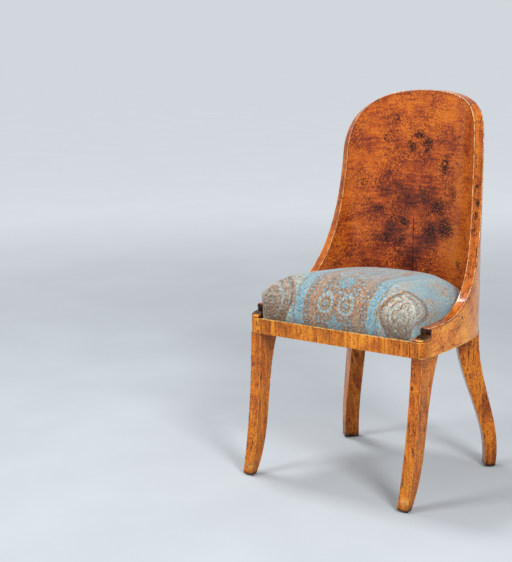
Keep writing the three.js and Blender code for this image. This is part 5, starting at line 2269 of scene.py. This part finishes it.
KNOTS = (
    Patch(-0.016, 0.776, 0.026, 0.018), Patch(-0.038, 0.745, 0.018, 0.020),
    Patch(0.010, 0.752, 0.022, 0.028), Patch(0.060, 0.706, 0.018, 0.036), Patch(0.042, 0.606, 0.036, 0.034),
    Patch(0.018, 0.544, 0.032, 0.030), Patch(0.068, 0.556, 0.040, 0.034),
    Patch(-0.108, 0.764, 0.016, 0.016, 0.8), Patch(-0.172, 0.656, 0.014, 0.014, 0.8),
    Patch(-0.128, 0.594, 0.020, 0.014, 0.8), Patch(-0.104, 0.526, 0.036, 0.024, 0.8),
    Patch(-0.054, 0.562, 0.026, 0.014), Patch(-0.068, 0.516, 0.028, 0.020, 0.8),
    Patch(0.118, 0.474, 0.016, 0.022, 0.8), Patch(0.090, 0.640, 0.020, 0.030, 0.8),
)
STAINS = (
    Patch(-0.055, 0.565, 0.150, 0.150, 0.20), Patch(0.000, 0.640, 0.220, 0.200, 0.06),
    Patch(0.030, 0.850, 0.200, 0.080, -0.11), Patch(-0.160, 0.700, 0.100, 0.160, -0.08),
    Patch(0.085, 0.490, 0.050, 0.050, -0.16), Patch(-0.080, 0.450, 0.160, 0.080, 0.14),
    Patch(0.130, 0.600, 0.070, 0.180, -0.16), Patch(-0.020, 0.740, 0.080, 0.050, 0.08),
)
LIP_KNOTS = (
    Patch(0.013, 1.262, 0.008, 0.009), Patch(0.010, 1.300, 0.008, 0.014), Patch(0.013, 1.326, 0.008, 0.016),
    Patch(0.012, 1.110, 0.009, 0.008, 0.7), Patch(0.012, 0.600, 0.009, 0.010, 0.6),
    Patch(0.012, 1.470, 0.009, 0.012, 0.6),
)
OUTER_KNOTS = (
    Patch(0.316, 0.700, 0.014, 0.022), Patch(0.326, 0.630, 0.016, 0.036),
    Patch(0.330, 0.450, 0.034, 0.028, 0.6), Patch(0.372, 0.385, 0.038, 0.024, 0.6),
    Patch(0.278, 0.532, 0.044, 0.044, 0.6), Patch(-0.250, 0.620, 0.080, 0.060, 0.6),
    Patch(-0.080, 0.730, 0.100, 0.060, 0.5), Patch(0.060, 0.560, 0.080, 0.120, 0.5),
    Patch(-0.360, 0.420, 0.060, 0.030, 0.6), Patch(-0.120, 0.450, 0.080, 0.060, 0.6),
)


def main() -> None:
    """Builds and dresses the chair, and sets up the studio."""
    logging.basicConfig(level=logging.INFO, format="%(message)s")
    effects = Effects()
    plan = Plan()
    inner = PolishedWood(
        "Burr veneer inside",
        srgb(214, 118, 38), srgb(182, 82, 32), srgb(122, 48, 31), srgb(56, 28, 26), srgb(242, 168, 82),
        crowding=0.45, rippling=0.6, gloss=0.20, knots=KNOTS, stains=STAINS, joint_run=-0.028,
    ).build(effects)
    # The outside is paler and more golden than the inside: partly the veneer's own colour, partly painted
    # light for the stronger light that falls on the chair's outer side.
    outer = PolishedWood(
        "Burr veneer outside",
        srgb(250, 168, 62), srgb(232, 132, 42), srgb(168, 80, 30), srgb(66, 30, 18), srgb(255, 206, 120),
        crowding=0.5, rippling=0.7, mottling=0.6, gloss=0.20, tone=-0.05, knots=OUTER_KNOTS, straying=0.035,
    ).build(effects)
    lipping = PolishedWood(
        "Golden lipping",
        srgb(212, 120, 36), srgb(184, 92, 28), srgb(136, 60, 24), srgb(60, 28, 16), srgb(244, 200, 140),
        figure=Figure.CROSS, crowding=0.4, gloss=0.18, mottling=0.6, knots=LIP_KNOTS, straying=0.006,
    ).build(effects)
    rail = PolishedWood(
        "Rail veneer",
        srgb(236, 152, 44), srgb(210, 118, 30), srgb(158, 78, 24), srgb(56, 26, 14), srgb(248, 198, 116),
        figure=Figure.CROSS, crowding=0.5, rippling=0.0, mottling=0.35, streaks=0.75, gloss=0.24,
    ).build(effects)
    legs = PolishedWood(
        "Leg wood",
        srgb(228, 142, 42), srgb(202, 106, 30), srgb(150, 70, 24), srgb(50, 24, 14), srgb(238, 172, 92),
        figure=Figure.STRAIGHT, crowding=0.5, rippling=0.2, mottling=0.45, streaks=0.65, gloss=0.26,
    ).build(effects)
    core = PlainWood("Core wood", srgb(190, 150, 100), srgb(150, 108, 66)).build(effects)
    beech = PlainWood("Seat frame beech", srgb(206, 168, 122), srgb(172, 128, 84), turned=True).build(effects)
    hessian = JuteWeave("Hessian", srgb(176, 148, 104), srgb(104, 82, 54), 620.0).build(effects)
    webbing = JuteWeave(
        "Jute webbing", srgb(190, 164, 120), srgb(118, 92, 62), 420.0, stripe=0.019
    ).build(effects)
    pieces = Shell(plan, inner_wood=inner, outer_wood=outer, lipping_wood=lipping).build()
    pieces += FrontRail(plan, rail).build()
    pieces += Legs(plan, legs).build()
    pieces += Seat(plan, ShawlCloth().build(effects), hessian, webbing).build()
    for piece in pieces:
        LOG.info("%s: %d points", piece.name, len(piece.data.vertices))
    HiddenWood(core, beech, GlideSteel().build()).dress()
    Studio(PaleFloor().build()).build()


if __name__ == "__main__":
    main()
